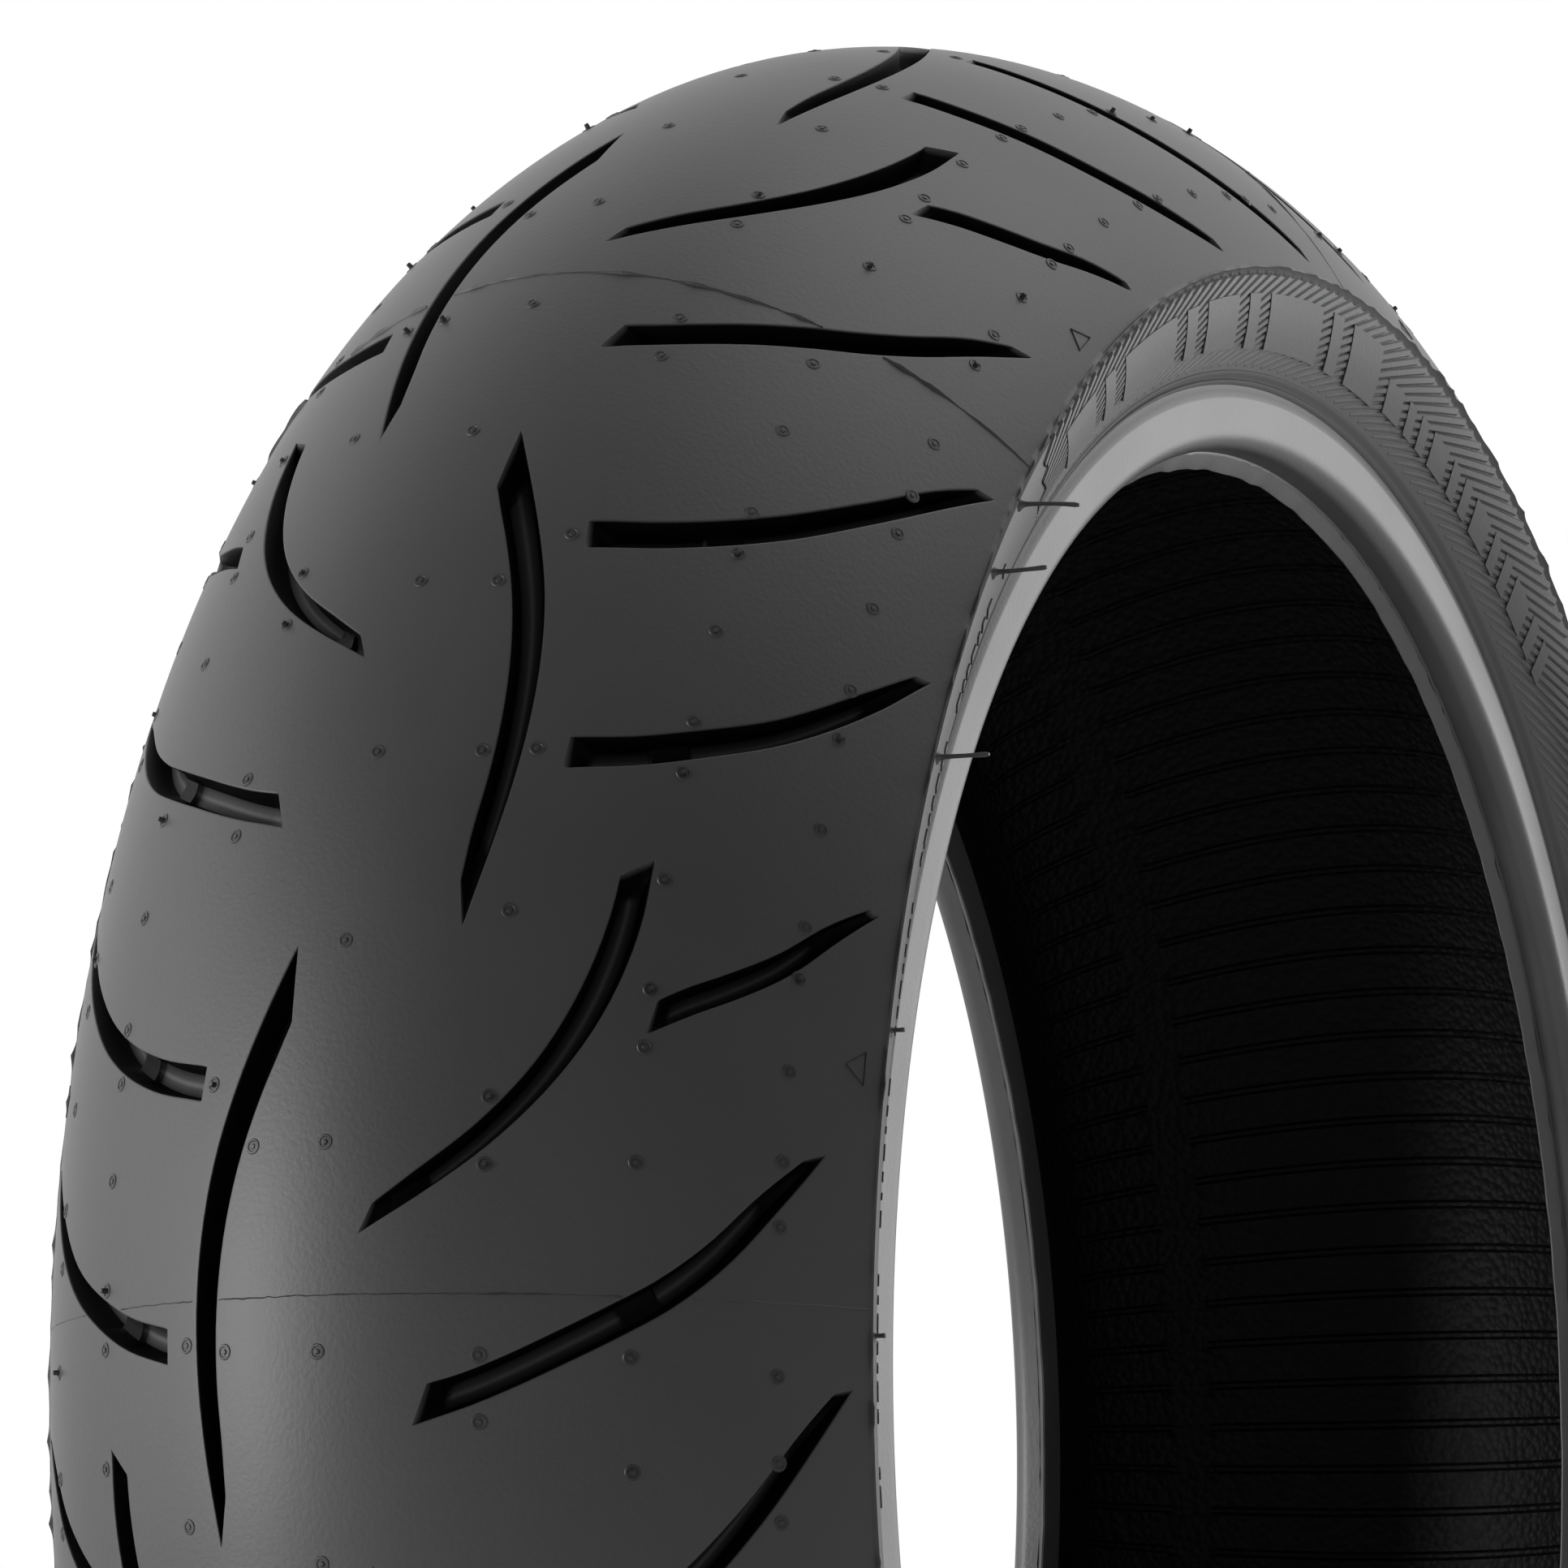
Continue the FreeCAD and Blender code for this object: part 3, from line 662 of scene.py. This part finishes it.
def vent_marks():
    bits = Bits()
    for repeat in range(REPEATS):
        start = PATTERN_START + repeat * REPEAT
        for side, lag in ((-1, 0.0), (1, PATTERN_LAG)):
            for along, angles in VENTS.items():
                for angle in angles:
                    nub = rng.choice([0.22, 0.3, 0.9, 1.3], p=[0.4, 0.35, 0.15, 0.1])
                    vent_mark(bits, side * along, start + lag + angle, nub)
        for number in range(6):
            vent_mark(bits, 0.0, start + 2.0 + 7.5 * number, 0.3)
    add_piece("vent_marks", bits.mesh("vent_marks"), SHADED_MARK_RUBBER)


vent_marks()


def ridge(bits, along, angle, heights, half):
    """A thin raised line over the tread through the given places."""
    run = crown(along, angle, 0.0)
    outward = crown_normal(along, angle)
    step = np.gradient(run, axis=0)
    sideways = np.cross(outward, step)
    sideways /= np.linalg.norm(sideways, axis=1)[:, None]
    half = np.asarray(half)[..., None] * np.ones((len(run), 1))
    points = np.stack([run - sideways * half - outward * 0.1, run + outward * heights[:, None],
                       run + sideways * half - outward * 0.1], 1)
    faces = grid_faces(len(run), 3, False, True)
    faces.append([0, 1, 2])
    faces.append([points.size // 3 - 3, points.size // 3 - 2, points.size // 3 - 1])
    bits.add(points, faces)


def mould_joint_lines():
    """Flash left between the mould's segments: one thin uneven line at each repeat."""
    bits = Bits()
    along = np.arange(-SHOULDER_EDGE, SHOULDER_EDGE + 0.1, 1.27)
    for repeat in range(REPEATS):
        strong = 1.0 if repeat % 2 == 0 else 0.45
        knots = rng.uniform(0.0, 1.0, 60) ** 3
        heights = np.interp(np.arange(len(along)), np.linspace(0, len(along), 60), knots)
        heights = (0.12 + 0.75 * heights) * strong
        angle = PATTERN_START + repeat * REPEAT + rng.normal(0, 0.012, len(along))
        over_groove = np.zeros(len(along), bool)
        for turn in (REPEAT, 2 * REPEAT):
            for mouth in groove_mouths:
                over_groove |= inside(flat(along, np.full(len(along), turn)), [mouth])
        start = 0
        for number in range(len(along) + 1):
            if number < len(along) and not over_groove[number]:
                continue
            if number - start > 3:
                part = slice(start, number)
                ridge(bits, along[part], angle[part], heights[part],
                      0.22 + 0.32 * heights[part])
            start = number + 1
    add_piece("mould_joint_lines", bits.mesh("mould_joint_lines"), SHADED_MARK_RUBBER)


mould_joint_lines()


def wear_pointers():
    """A small raised outline of a triangle beside each shoulder, one to a repeat."""
    bits = Bits()
    half_width = 0.75
    for repeat in range(REPEATS):
        start = PATTERN_START + repeat * REPEAT
        for side in (-1, 1):
            along = side * np.array([109.5, 105.0, 109.5, 109.5])
            angle = start - 10.5 + half_width * np.array([-1.0, 0.0, 1.0, -1.0])
            ridge(bits, along, angle, np.full(4, 0.25), np.full(4, 0.22))
    add_piece("wear_pointers", bits.mesh("wear_pointers"), SHADED_MARK_RUBBER)


wear_pointers()


# ---------------------------------------------------------------- tread wings
WING_COLUMNS = 1440


def tread_wing(side_name, side):
    """The band at the tread's edge, with the torn flash fin along its corner."""
    angle = np.arange(WING_COLUMNS) * 360.0 / WING_COLUMNS
    fin = ragged(WING_COLUMNS, 3, 0.0, 1.0) ** 2 * 0.9 + 0.12
    rows = [(CAP_EDGE, 0.0), (SHOULDER_EDGE - 1.5, 0.0), (SHOULDER_EDGE - 0.6, 0.0),
            (SHOULDER_EDGE - 0.35, -fin), (SHOULDER_EDGE - 0.1, -fin), (SHOULDER_EDGE, 0.15),
            (SHOULDER_EDGE, WING_DEPTH), (CAP_EDGE, WING_DEPTH), (CAP_EDGE, CAP_DEPTH)]
    points = np.stack([crown(side * along, angle, depth) for along, depth in rows], 1)
    name = "tread_wing_flash_" + side_name
    mesh = make_mesh(name, points, grid_faces(WING_COLUMNS, len(rows)), 38.0)
    add_piece(name, mesh, TREAD_RUBBER, ["tread_wing_" + side_name])


for side_name, side in (("right", -1), ("left", 1)):
    tread_wing(side_name, side)


# ---------------------------------------------------------------- sidewalls
SIDE_COLUMNS = 720
SIDE_ARC = 75.0
SIDE_CENTRE = (277.968, 20.526)
LINE_RADIUS = 232.8
INSIDE_CENTRE = (250.25, 50.3)
INSIDE_ARC = 27.0
INSIDE_END = 115.0
TURNUP_FACE = 78.9
FLANGE_FACE = 81.2
FLANGE_TOP = 230.0
HATCH_LOW = 237.2
HATCH_HIGH = 256.6


def side_across(radius):
    """Distance across of the sidewall's outside at a distance from the axle."""
    drop = np.asarray(radius) - SIDE_CENTRE[0]
    return SIDE_CENTRE[1] + np.sqrt(SIDE_ARC ** 2 - drop ** 2)


def side_point(radius, angle, height, side):
    """Point above the sidewall's outside, along its outward direction."""
    drop = np.asarray(radius) - SIDE_CENTRE[0]
    rise = side_across(radius) - SIDE_CENTRE[1]
    out_radius = radius + height * drop / SIDE_ARC
    out_across = side_across(radius) + height * rise / SIDE_ARC
    return placed(out_radius, side * out_across, angle)


def sidewall_section():
    """The closed section of a sidewall, from the shoulder edge down and back up inside."""
    edge = crown_section(SHOULDER_EDGE, 0.0)
    rows = [(float(edge[0]), float(edge[1]))]
    details = [(257.9, -0.5), (257.3, -0.6), (256.8, 0.0)]
    details += [(radius, 0.0) for radius in np.linspace(255.0, 238.0, 9)]
    details += [(LINE_RADIUS + up, height) for up, height in (
        (3.4, 0.0), (3.1, 0.45), (2.4, 0.5), (2.05, -0.2), (1.5, -0.2), (1.15, 0.38),
        (0.6, 0.42), (0.2, 0.0))]
    for radius, height in details:
        rows.append((radius, float(side_across(radius)) + height))
    rows += [(231.6, 80.8), (230.5, FLANGE_FACE), (FLANGE_TOP, FLANGE_FACE),
             (FLANGE_TOP, TURNUP_FACE),
             (236.0, TURNUP_FACE), (246.0, 82.3), (249.0, 82.3)]
    arc = INSIDE_ARC + LINER_DEPTH - CUSHION_DEPTH
    for turn in np.radians([92.0, 80.0, 70.0, 60.0]):
        rows.append((INSIDE_CENTRE[0] + arc * math.cos(turn),
                     INSIDE_CENTRE[1] + arc * math.sin(turn)))
    belt_edge = FIRST_RUN + SHOULDER_ARC * math.radians(BELT_TURN - FIRST_TURN)
    for along in (belt_edge, (belt_edge + SHOULDER_EDGE) / 2, SHOULDER_EDGE):
        rows.append(tuple(float(value) for value in crown_section(along, CUSHION_DEPTH)))
    return np.array(rows)


def turned_piece(name, section, side, material, node, columns=SIDE_COLUMNS, sharp=50.0):
    """A closed section turned about the axle, with one mesh column for each step round."""
    angle = np.repeat(np.arange(columns) * 360.0 / columns, len(section))
    radius = np.tile(section[:, 0], columns)
    across = np.tile(section[:, 1], columns)
    points = placed(radius, side * across, angle)
    mesh = make_mesh(name, points, grid_faces(columns, len(section)), sharp)
    return add_piece(name, mesh, material, [node])


for side_name, side in (("right", -1), ("left", 1)):
    turned_piece("sidewall_rubber_" + side_name, sidewall_section(), side, SIDEWALL_RUBBER,
                 "sidewall_" + side_name)

# Angles of the two hatched panels; the plain panels lie between them.
HATCHED = [(25.0, 131.0), (205.0, 311.0)]
HATCH_COUNT = 288


def hatch_ridge(bits, start, side, low_angle, high_angle):
    """One slanted ridge of a hatched panel, swept back more steeply towards the rim."""
    radius = np.linspace(HATCH_LOW, HATCH_HIGH, 14)
    drop = radius - 253.0
    angle = start - (0.53 * drop - 0.006 * drop ** 2)
    keep = (angle > low_angle) & (angle < high_angle)
    if keep.sum() < 3:
        return
    radius, angle = radius[keep], angle[keep]
    share = (radius - HATCH_LOW) / (HATCH_HIGH - HATCH_LOW)
    height = 0.05 + 0.40 * np.clip(share * 2.2, 0, 1)
    half = 0.30 + 0.32 * np.clip(share * 1.8, 0, 1)
    rise = np.sqrt(1 + ((SIDE_CENTRE[0] - radius) / (side_across(radius) - SIDE_CENTRE[1])) ** 2)
    out_way = np.gradient(radius) * rise
    round_way = np.gradient(np.radians(angle)) * radius
    size = np.hypot(out_way, round_way)
    points = []
    for offset, level in ((-1.9, -0.1), (-1.0, 1.0), (1.0, 1.0), (1.9, -0.1)):
        shift = offset * half / size
        at_radius = radius - round_way * shift / rise
        at_angle = angle + np.degrees(out_way * shift / radius)
        lift = np.where(level > 0, height, -0.1)
        points.append(side_point(at_radius, at_angle, lift, side))
    points = np.stack(points, 1)
    faces = grid_faces(len(radius), 4, False, True)
    faces.append([0, 1, 2, 3])
    faces.append([points.size // 3 - number for number in (4, 3, 2, 1)])
    bits.add(points, faces)


def hatching(side_name, side):
    bits = Bits()
    for low, high in HATCHED:
        for number in range(HATCH_COUNT):
            for turn in (0.0, 360.0):
                start = number * 360.0 / HATCH_COUNT + turn
                hatch_ridge(bits, start, side, low, high)
    name = "sidewall_hatching_" + side_name
    add_piece(name, bits.mesh(name), SIDEWALL_RUBBER)


def raised_bar(bits, side, angle, length, low, high, height, slant):
    """A flat-topped slanted bar on the sidewall; length is in degrees."""
    radius = np.linspace(low, high, 5)
    share = (radius - low) / (high - low)
    columns = max(2, math.ceil(length * 2.0)) + 1
    points = []
    for number in range(columns):
        at = angle + slant * share + length * number / (columns - 1)
        points.append(np.stack([side_point(radius, at, height, side),
                                side_point(radius, at, -0.2, side)], 1))
    points = np.array(points)
    top = np.arange(columns * 10).reshape(columns, 5, 2)
    faces = []
    for column in range(columns - 1):
        for row in range(4):
            for face in (0, 1):
                faces.append([top[column, row, face], top[column, row + 1, face],
                              top[column + 1, row + 1, face], top[column + 1, row, face]])
        for row in (0, 4):
            faces.append([top[column, row, 0], top[column, row, 1],
                          top[column + 1, row, 1], top[column + 1, row, 0]])
    for column in (0, columns - 1):
        for row in range(4):
            faces.append([top[column, row, 0], top[column, row + 1, 0],
                          top[column, row + 1, 1], top[column, row, 1]])
    bits.add(points, [[int(corner) for corner in face] for face in faces])


def raised_bars(side_name, side):
    """Plain raised bars on the hatched panels and a row of small ticks on the plain ones."""
    bits = Bits()
    for low, high in HATCHED:
        start = high - 5.0
        for length in (4.4, 1.5, 7.5, 1.5, 4.4, 1.5, 7.5, 1.5, 4.4):
            start -= length
            raised_bar(bits, side, start, length, 241.0, 253.0, 0.62, 1.6)
            start -= 1.5
        for number in range(12):
            length = 2.4 if number % 3 == 0 else 1.1
            start -= length
            raised_bar(bits, side, start, length, 242.0, 248.5, 0.55, 1.0)
            start -= 0.9
    for low in (137.0, -43.0):
        start = low
        for number in range(38):
            length = (0.35, 0.8, 0.5)[number % 3]
            raised_bar(bits, side, start, length, 244.5, 248.0, 0.35, 0.2)
            start += length + (0.5 if number % 7 else 2.2)
    name = "sidewall_bars_" + side_name
    add_piece(name, bits.mesh(name), SIDEWALL_RUBBER)


for side_name, side in (("right", -1), ("left", 1)):
    hatching(side_name, side)
    raised_bars(side_name, side)


# ---------------------------------------------------------------- beads
SEAT_RADIUS = 218.3
SEAT_START = 73.2
SEAT_INSIDE = 219.5
HEEL_CENTRE = (222.8, 76.7)
HEEL_ARC = 4.5
TOE_RADIUS = 214.5
GUARD_TOP = 224.0
GUARD_FACE = 69.9
GUARD_LEG = 4.4


def arc_rows(centre, radius, start, end, count):
    """Section points round an arc; angles are from the outward direction."""
    turns = np.radians(np.linspace(start, end, count))
    return [(centre[0] + radius * math.cos(turn), centre[1] + radius * math.sin(turn))
            for turn in turns]


def chafer_section():
    """The closed section of a chafer: seat, heel, flange face and back up inside."""
    rows = [(SEAT_RADIUS, SEAT_START), (SEAT_RADIUS, 74.6), (SEAT_RADIUS, 76.0)]
    rows += arc_rows(HEEL_CENTRE, HEEL_ARC, 180.0, 90.0, 10)
    rows += [(224.5, FLANGE_FACE), (227.5, FLANGE_FACE), (FLANGE_TOP, FLANGE_FACE),
             (FLANGE_TOP, TURNUP_FACE), (221.0, TURNUP_FACE), (SEAT_INSIDE, 77.4),
             (SEAT_INSIDE, SEAT_START)]
    return np.array(rows)


def toe_guard(side_name, side):
    """The bead's toe, with its trimmed wavy tip and a torn flash line beside the seat."""
    columns = WING_COLUMNS
    angle = np.arange(columns) * 360.0 / columns
    wave = ragged(columns, 6, -0.25, 0.35)
    fin = ragged(columns, 4, 0.0, 1.0) ** 3 * 0.55 + 0.1
    rows = [(GUARD_TOP, GUARD_FACE), (SEAT_INSIDE, 69.95), (215.6 + wave * 0.5, 70.0),
            (214.7 + wave, 70.2), (TOE_RADIUS + wave, 70.6), (215.0 + wave * 0.5, 71.1),
            (217.7, 72.8), (217.8 - fin, 72.95), (218.1 - fin, 73.15),
            (SEAT_RADIUS, SEAT_START), (SEAT_INSIDE, SEAT_START), (SEAT_INSIDE, 71.3),
            (GUARD_TOP, 71.3)]
    points = np.stack([placed(radius + 0 * angle, side * across, angle)
                       for radius, across in rows], 1)
    name = "toe_guard_rubber_" + side_name
    mesh = make_mesh(name, points, grid_faces(columns, len(rows)), 45.0)
    add_piece(name, mesh, CHAFER_RUBBER, ["toe_guard_" + side_name])


for side_name, side in (("right", -1), ("left", 1)):
    turned_piece("chafer_rubber_" + side_name, chafer_section(), side, CHAFER_RUBBER,
                 "chafer_" + side_name)
    toe_guard(side_name, side)


# ---------------------------------------------------------------- inner liner
LINER_RIBS = 164
RIB_RADIUS = 303.0
RIB_OFFSETS = (-1.25, -0.85, -0.45, 0.45, 0.85, 1.25, 4.0, 6.8)
RIB_HEIGHTS = (0.0, -0.5, 0.05, 0.05, -0.5, 0.0, 0.0, 0.0)
RIB_ZONES = ((-56.0, 56.0), (67.0, 92.0), (-92.0, -67.0))
LINER_ROW_GAP = 6.0


def liner_section():
    """Inside of half the liner, centre to bead: run, radius, across and turn of each row."""
    crown_end = LINER_TURN_RUN
    arc_run = INSIDE_ARC * math.radians(INSIDE_END - BELT_TURN)
    end_turn = math.radians(INSIDE_END)
    leg_start = (INSIDE_CENTRE[0] + INSIDE_ARC * math.cos(end_turn),
                 INSIDE_CENTRE[1] + INSIDE_ARC * math.sin(end_turn))
    leg_end = (GUARD_TOP + GUARD_LEG, GUARD_FACE)
    leg_run = math.hypot(leg_start[0] - leg_end[0], leg_start[1] - leg_end[1])
    runs = list(np.arange(0.0, crown_end + arc_run, LINER_ROW_GAP))
    for low, high in RIB_ZONES[:2]:
        runs += [max(low, 0.0), high, high + 1.0]
        if low > 1:
            runs.append(low - 1.0)
    runs = sorted(set(runs))
    rows = []
    for run in runs:
        if run <= crown_end:
            turn = liner_turn(run)
            along = FIRST_RUN + SHOULDER_ARC * (turn - CROWN_TURN)
            if turn < CROWN_TURN:
                along = turn * CROWN_ARC
            radius, across = crown_section(along, LINER_DEPTH)
            rows.append((run, float(radius), float(across), turn))
        elif run <= crown_end + arc_run:
            turn = math.radians(BELT_TURN) + (run - crown_end) / INSIDE_ARC
            rows.append((run, INSIDE_CENTRE[0] + INSIDE_ARC * math.cos(turn),
                         INSIDE_CENTRE[1] + INSIDE_ARC * math.sin(turn), turn))
    end = crown_end + arc_run
    rows.append((end, *leg_start, end_turn))
    rows.append((end + leg_run, *leg_end, math.radians(100.0)))
    rows.append((end + leg_run + GUARD_LEG, GUARD_TOP, GUARD_FACE, math.radians(90.0)))
    return np.array(rows)


def liner_turn(run):
    """Turn of the liner's crown at a distance along it."""
    first = (CROWN_ARC - LINER_DEPTH) * CROWN_TURN
    if run < first:
        return run / (CROWN_ARC - LINER_DEPTH)
    return CROWN_TURN + (run - first) / (SHOULDER_ARC - LINER_DEPTH)


LINER_TURN_RUN = ((CROWN_ARC - LINER_DEPTH) * CROWN_TURN
                  + (SHOULDER_ARC - LINER_DEPTH) * math.radians(BELT_TURN - FIRST_TURN))


def inner_liner():
    """The liner, with the pairs of fine lines that vent the curing bladder."""
    half = liner_section()
    run = np.concatenate([-half[::-1, 0], half[1:, 0]])
    radius = np.concatenate([half[::-1, 1], half[1:, 1]])
    across = np.concatenate([-half[::-1, 2], half[1:, 2]])
    turn = np.concatenate([-half[::-1, 3], half[1:, 3]])
    ribbed = np.zeros(len(run))
    for low, high in RIB_ZONES:
        ribbed[(run >= low - 0.01) & (run <= high + 0.01)] = 1.0
    thick = PLY_DEPTH - LINER_DEPTH
    points = []
    for number in range(LINER_RIBS):
        for offset, height in zip(RIB_OFFSETS, RIB_HEIGHTS):
            angle = number * 360.0 / LINER_RIBS + math.degrees(offset / RIB_RADIUS)
            level = height * ribbed
            inner = placed(radius - level * np.cos(turn), across - level * np.sin(turn),
                           np.full(len(run), angle))
            outer = placed(radius - thick * np.cos(turn), across - thick * np.sin(turn),
                           np.full(len(run), angle))
            points.append(np.concatenate([inner, outer[::-1]]))
    points = np.array(points)
    faces = grid_faces(len(points), points.shape[1])
    mesh = make_mesh("inner_liner_rubber", points, faces, 50.0)
    add_piece("inner_liner_rubber", mesh, SHADED_LINER_RUBBER, ["inner_liner"])


inner_liner()


# ---------------------------------------------------------------- vent whiskers
def whisker(bits, side, radius, angle, length, droop):
    """A thin uncut rubber hair on the sidewall, with a flared foot and a blunt tip."""
    base = side_point(radius, angle, 0.0, side)
    outward = np.array([0.0, side, 0.0])
    radial = placed(1.0, 0.0, angle)
    third = np.cross(outward, radial)
    share = np.array([-0.05, 0.0, 0.04, 0.1, 0.2, 0.4, 0.6, 0.8, 0.93, 1.0])
    thick = np.array([1.6, 1.5, 0.9, 0.6, 0.5, 0.46, 0.45, 0.5, 0.55, 0.35])
    turn = np.arange(8) * 2 * math.pi / 8
    points = []
    for at, radius_here in zip(share, thick):
        middle = base + outward * at * length + np.array([0.0, 0.0, -droop * at ** 2])
        ring = np.cos(turn)[:, None] * radial + np.sin(turn)[:, None] * third
        points.append(middle + ring * radius_here)
    faces = grid_faces(len(share), 8, False, True)
    faces.append(list(range(8)))
    faces.append([8 * (len(share) - 1) + number for number in range(8)])
    bits.add(np.array(points), faces)


# Whiskers of half a turn: distance from the axle, angle, length and droop.
WHISKERS = ((255.8, 135.0, 13.5, 1.0), (254.4, 139.6, 12.0, -0.3), (255.0, 151.2, 11.5, 0.0),
            (255.5, 165.2, 3.0, 0.0), (255.5, 179.1, 2.5, 0.0))
LEFT_STUB = 2.0


def whiskers():
    """Uncut hairs on the right sidewall; on the left they are trimmed to stubs."""
    bits = Bits()
    for side in (-1, 1):
        for start in (0.0, 180.0):
            for radius, angle, length, droop in WHISKERS:
                if side > 0:
                    length = min(length, LEFT_STUB)
                whisker(bits, side, radius, angle + start, length, droop)
    mesh = bits.mesh("vent_whiskers", 60.0)
    add_piece("vent_whiskers", mesh, SIDEWALL_RUBBER)


whiskers()

# ---------------------------------------------------------------- CAD nodes that stay
CARRIED = {
    "tread_base": BASE_RUBBER,
    "belt_turns": BELT_STRIP,
    "carcass_ply": PLY_FABRIC,
    "belt_edge_cushion_left": CUSHION_RUBBER,
    "belt_edge_cushion_right": CUSHION_RUBBER,
    "bead_wrap_left": WRAP_FABRIC,
    "bead_wrap_right": WRAP_FABRIC,
    "bead_core_left": BEAD_WIRE,
    "bead_core_right": BEAD_WIRE,
    "bead_filler_left": FILLER_RUBBER,
    "bead_filler_right": FILLER_RUBBER,
    "ply_edge_strip_left": CUSHION_RUBBER,
    "ply_edge_strip_right": CUSHION_RUBBER,
}
for node, material in CARRIED.items():
    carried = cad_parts[node]
    if not carried.data.materials:
        carried.data.materials.append(material)
    for number in range(len(carried.data.materials)):
        carried.data.materials[number] = material


# ---------------------------------------------------------------- stage
def stage_floor():
    """A wide pale floor that the tire stands on."""
    material, _, surface = shader("floor_paint")
    surface.inputs["Base Color"].default_value = (0.86, 0.86, 0.86, 1.0)
    surface.inputs["Roughness"].default_value = 0.8
    mesh = bpy.data.meshes.new("floor")
    reach = 30.0
    level = -OUTER_RADIUS * MM - 0.0015
    mesh.from_pydata([(-reach, -reach, level), (reach, -reach, level), (reach, reach, level),
                      (-reach, reach, level)], [], [(0, 1, 2, 3)])
    mesh.materials.append(material)
    floor = bpy.data.objects.new("floor", mesh)
    scene.collection.objects.link(floor)


def studio_world():
    """White to the camera; for the tire, a backdrop that is bright behind it."""
    world = bpy.data.worlds.new("studio")
    scene.world = world
    world.use_nodes = True
    nodes = world.node_tree.nodes
    nodes.clear()
    path = nodes.new("ShaderNodeLightPath")
    place = nodes.new("ShaderNodeTexCoord")
    facing = nodes.new("ShaderNodeVectorMath")
    facing.operation = "DOT_PRODUCT"
    facing.inputs[1].default_value = (0.88, 0.40, 0.25)
    ramp = nodes.new("ShaderNodeValToRGB")
    ramp.color_ramp.interpolation = "EASE"
    ramp.color_ramp.elements[0].position = 0.1
    ramp.color_ramp.elements[0].color = (0.22, 0.22, 0.22, 1.0)
    ramp.color_ramp.elements[1].position = 0.85
    ramp.color_ramp.elements[1].color = (1.0, 1.0, 1.0, 1.0)
    soft = nodes.new("ShaderNodeBackground")
    soft.inputs["Strength"].default_value = 1.3
    white = nodes.new("ShaderNodeBackground")
    white.inputs["Color"].default_value = (1.0, 1.0, 1.0, 1.0)
    mix = nodes.new("ShaderNodeMixShader")
    out = nodes.new("ShaderNodeOutputWorld")
    wire(place, "Generated", facing, 0)
    wire(facing, "Value", ramp, "Fac")
    wire(ramp, "Color", soft, "Color")
    wire(path, "Is Camera Ray", mix, "Fac")
    wire(soft, "Background", mix, 1)
    wire(white, "Background", mix, 2)
    wire(mix, "Shader", out, "Surface")


def soft_light(name, azimuth, elevation, distance, width, height, power):
    """A rectangular soft light that faces the tire from a direction."""
    light = bpy.data.lights.new(name, "AREA")
    light.shape = "RECTANGLE"
    light.size = width
    light.size_y = height
    light.energy = power
    holder = bpy.data.objects.new(name, light)
    scene.collection.objects.link(holder)
    a, e = math.radians(azimuth), math.radians(elevation)
    away = Vector((math.sin(a) * math.cos(e), -math.cos(a) * math.cos(e), math.sin(e)))
    holder.location = away * distance
    holder.rotation_mode = "QUATERNION"
    holder.rotation_quaternion = (-away).to_track_quat("-Z", "Y")
    holder.visible_camera = False


def camera():
    """The view from low in front and to the right of the tire, over a long lens."""
    azimuth, elevation = math.radians(-65.24), math.radians(-7.14)
    back = Vector((math.sin(azimuth) * math.cos(elevation),
                   -math.cos(azimuth) * math.cos(elevation), math.sin(elevation)))
    lens = bpy.data.cameras.new("camera")
    lens.sensor_width = 36.0
    lens.lens = 185.97
    holder = bpy.data.objects.new("camera", lens)
    scene.collection.objects.link(holder)
    holder.location = (-1.71519, -0.74575, -0.0866)
    holder.rotation_mode = "QUATERNION"
    holder.rotation_quaternion = (-back).to_track_quat("-Z", "Y")
    scene.camera = holder


stage_floor()
studio_world()
soft_light("top_light", 35.0, 62.0, 3.5, 2.5, 2.5, 34.0)
soft_light("low_light", -134.0, 6.0, 3.5, 0.6, 1.3, 75.0)
soft_light("left_light", -165.0, 10.0, 4.0, 2.0, 3.0, 40.0)
soft_light("rim_light", 62.0, 8.0, 4.0, 1.6, 2.4, 45.0)
camera()
scene.view_settings.view_transform = "Standard"
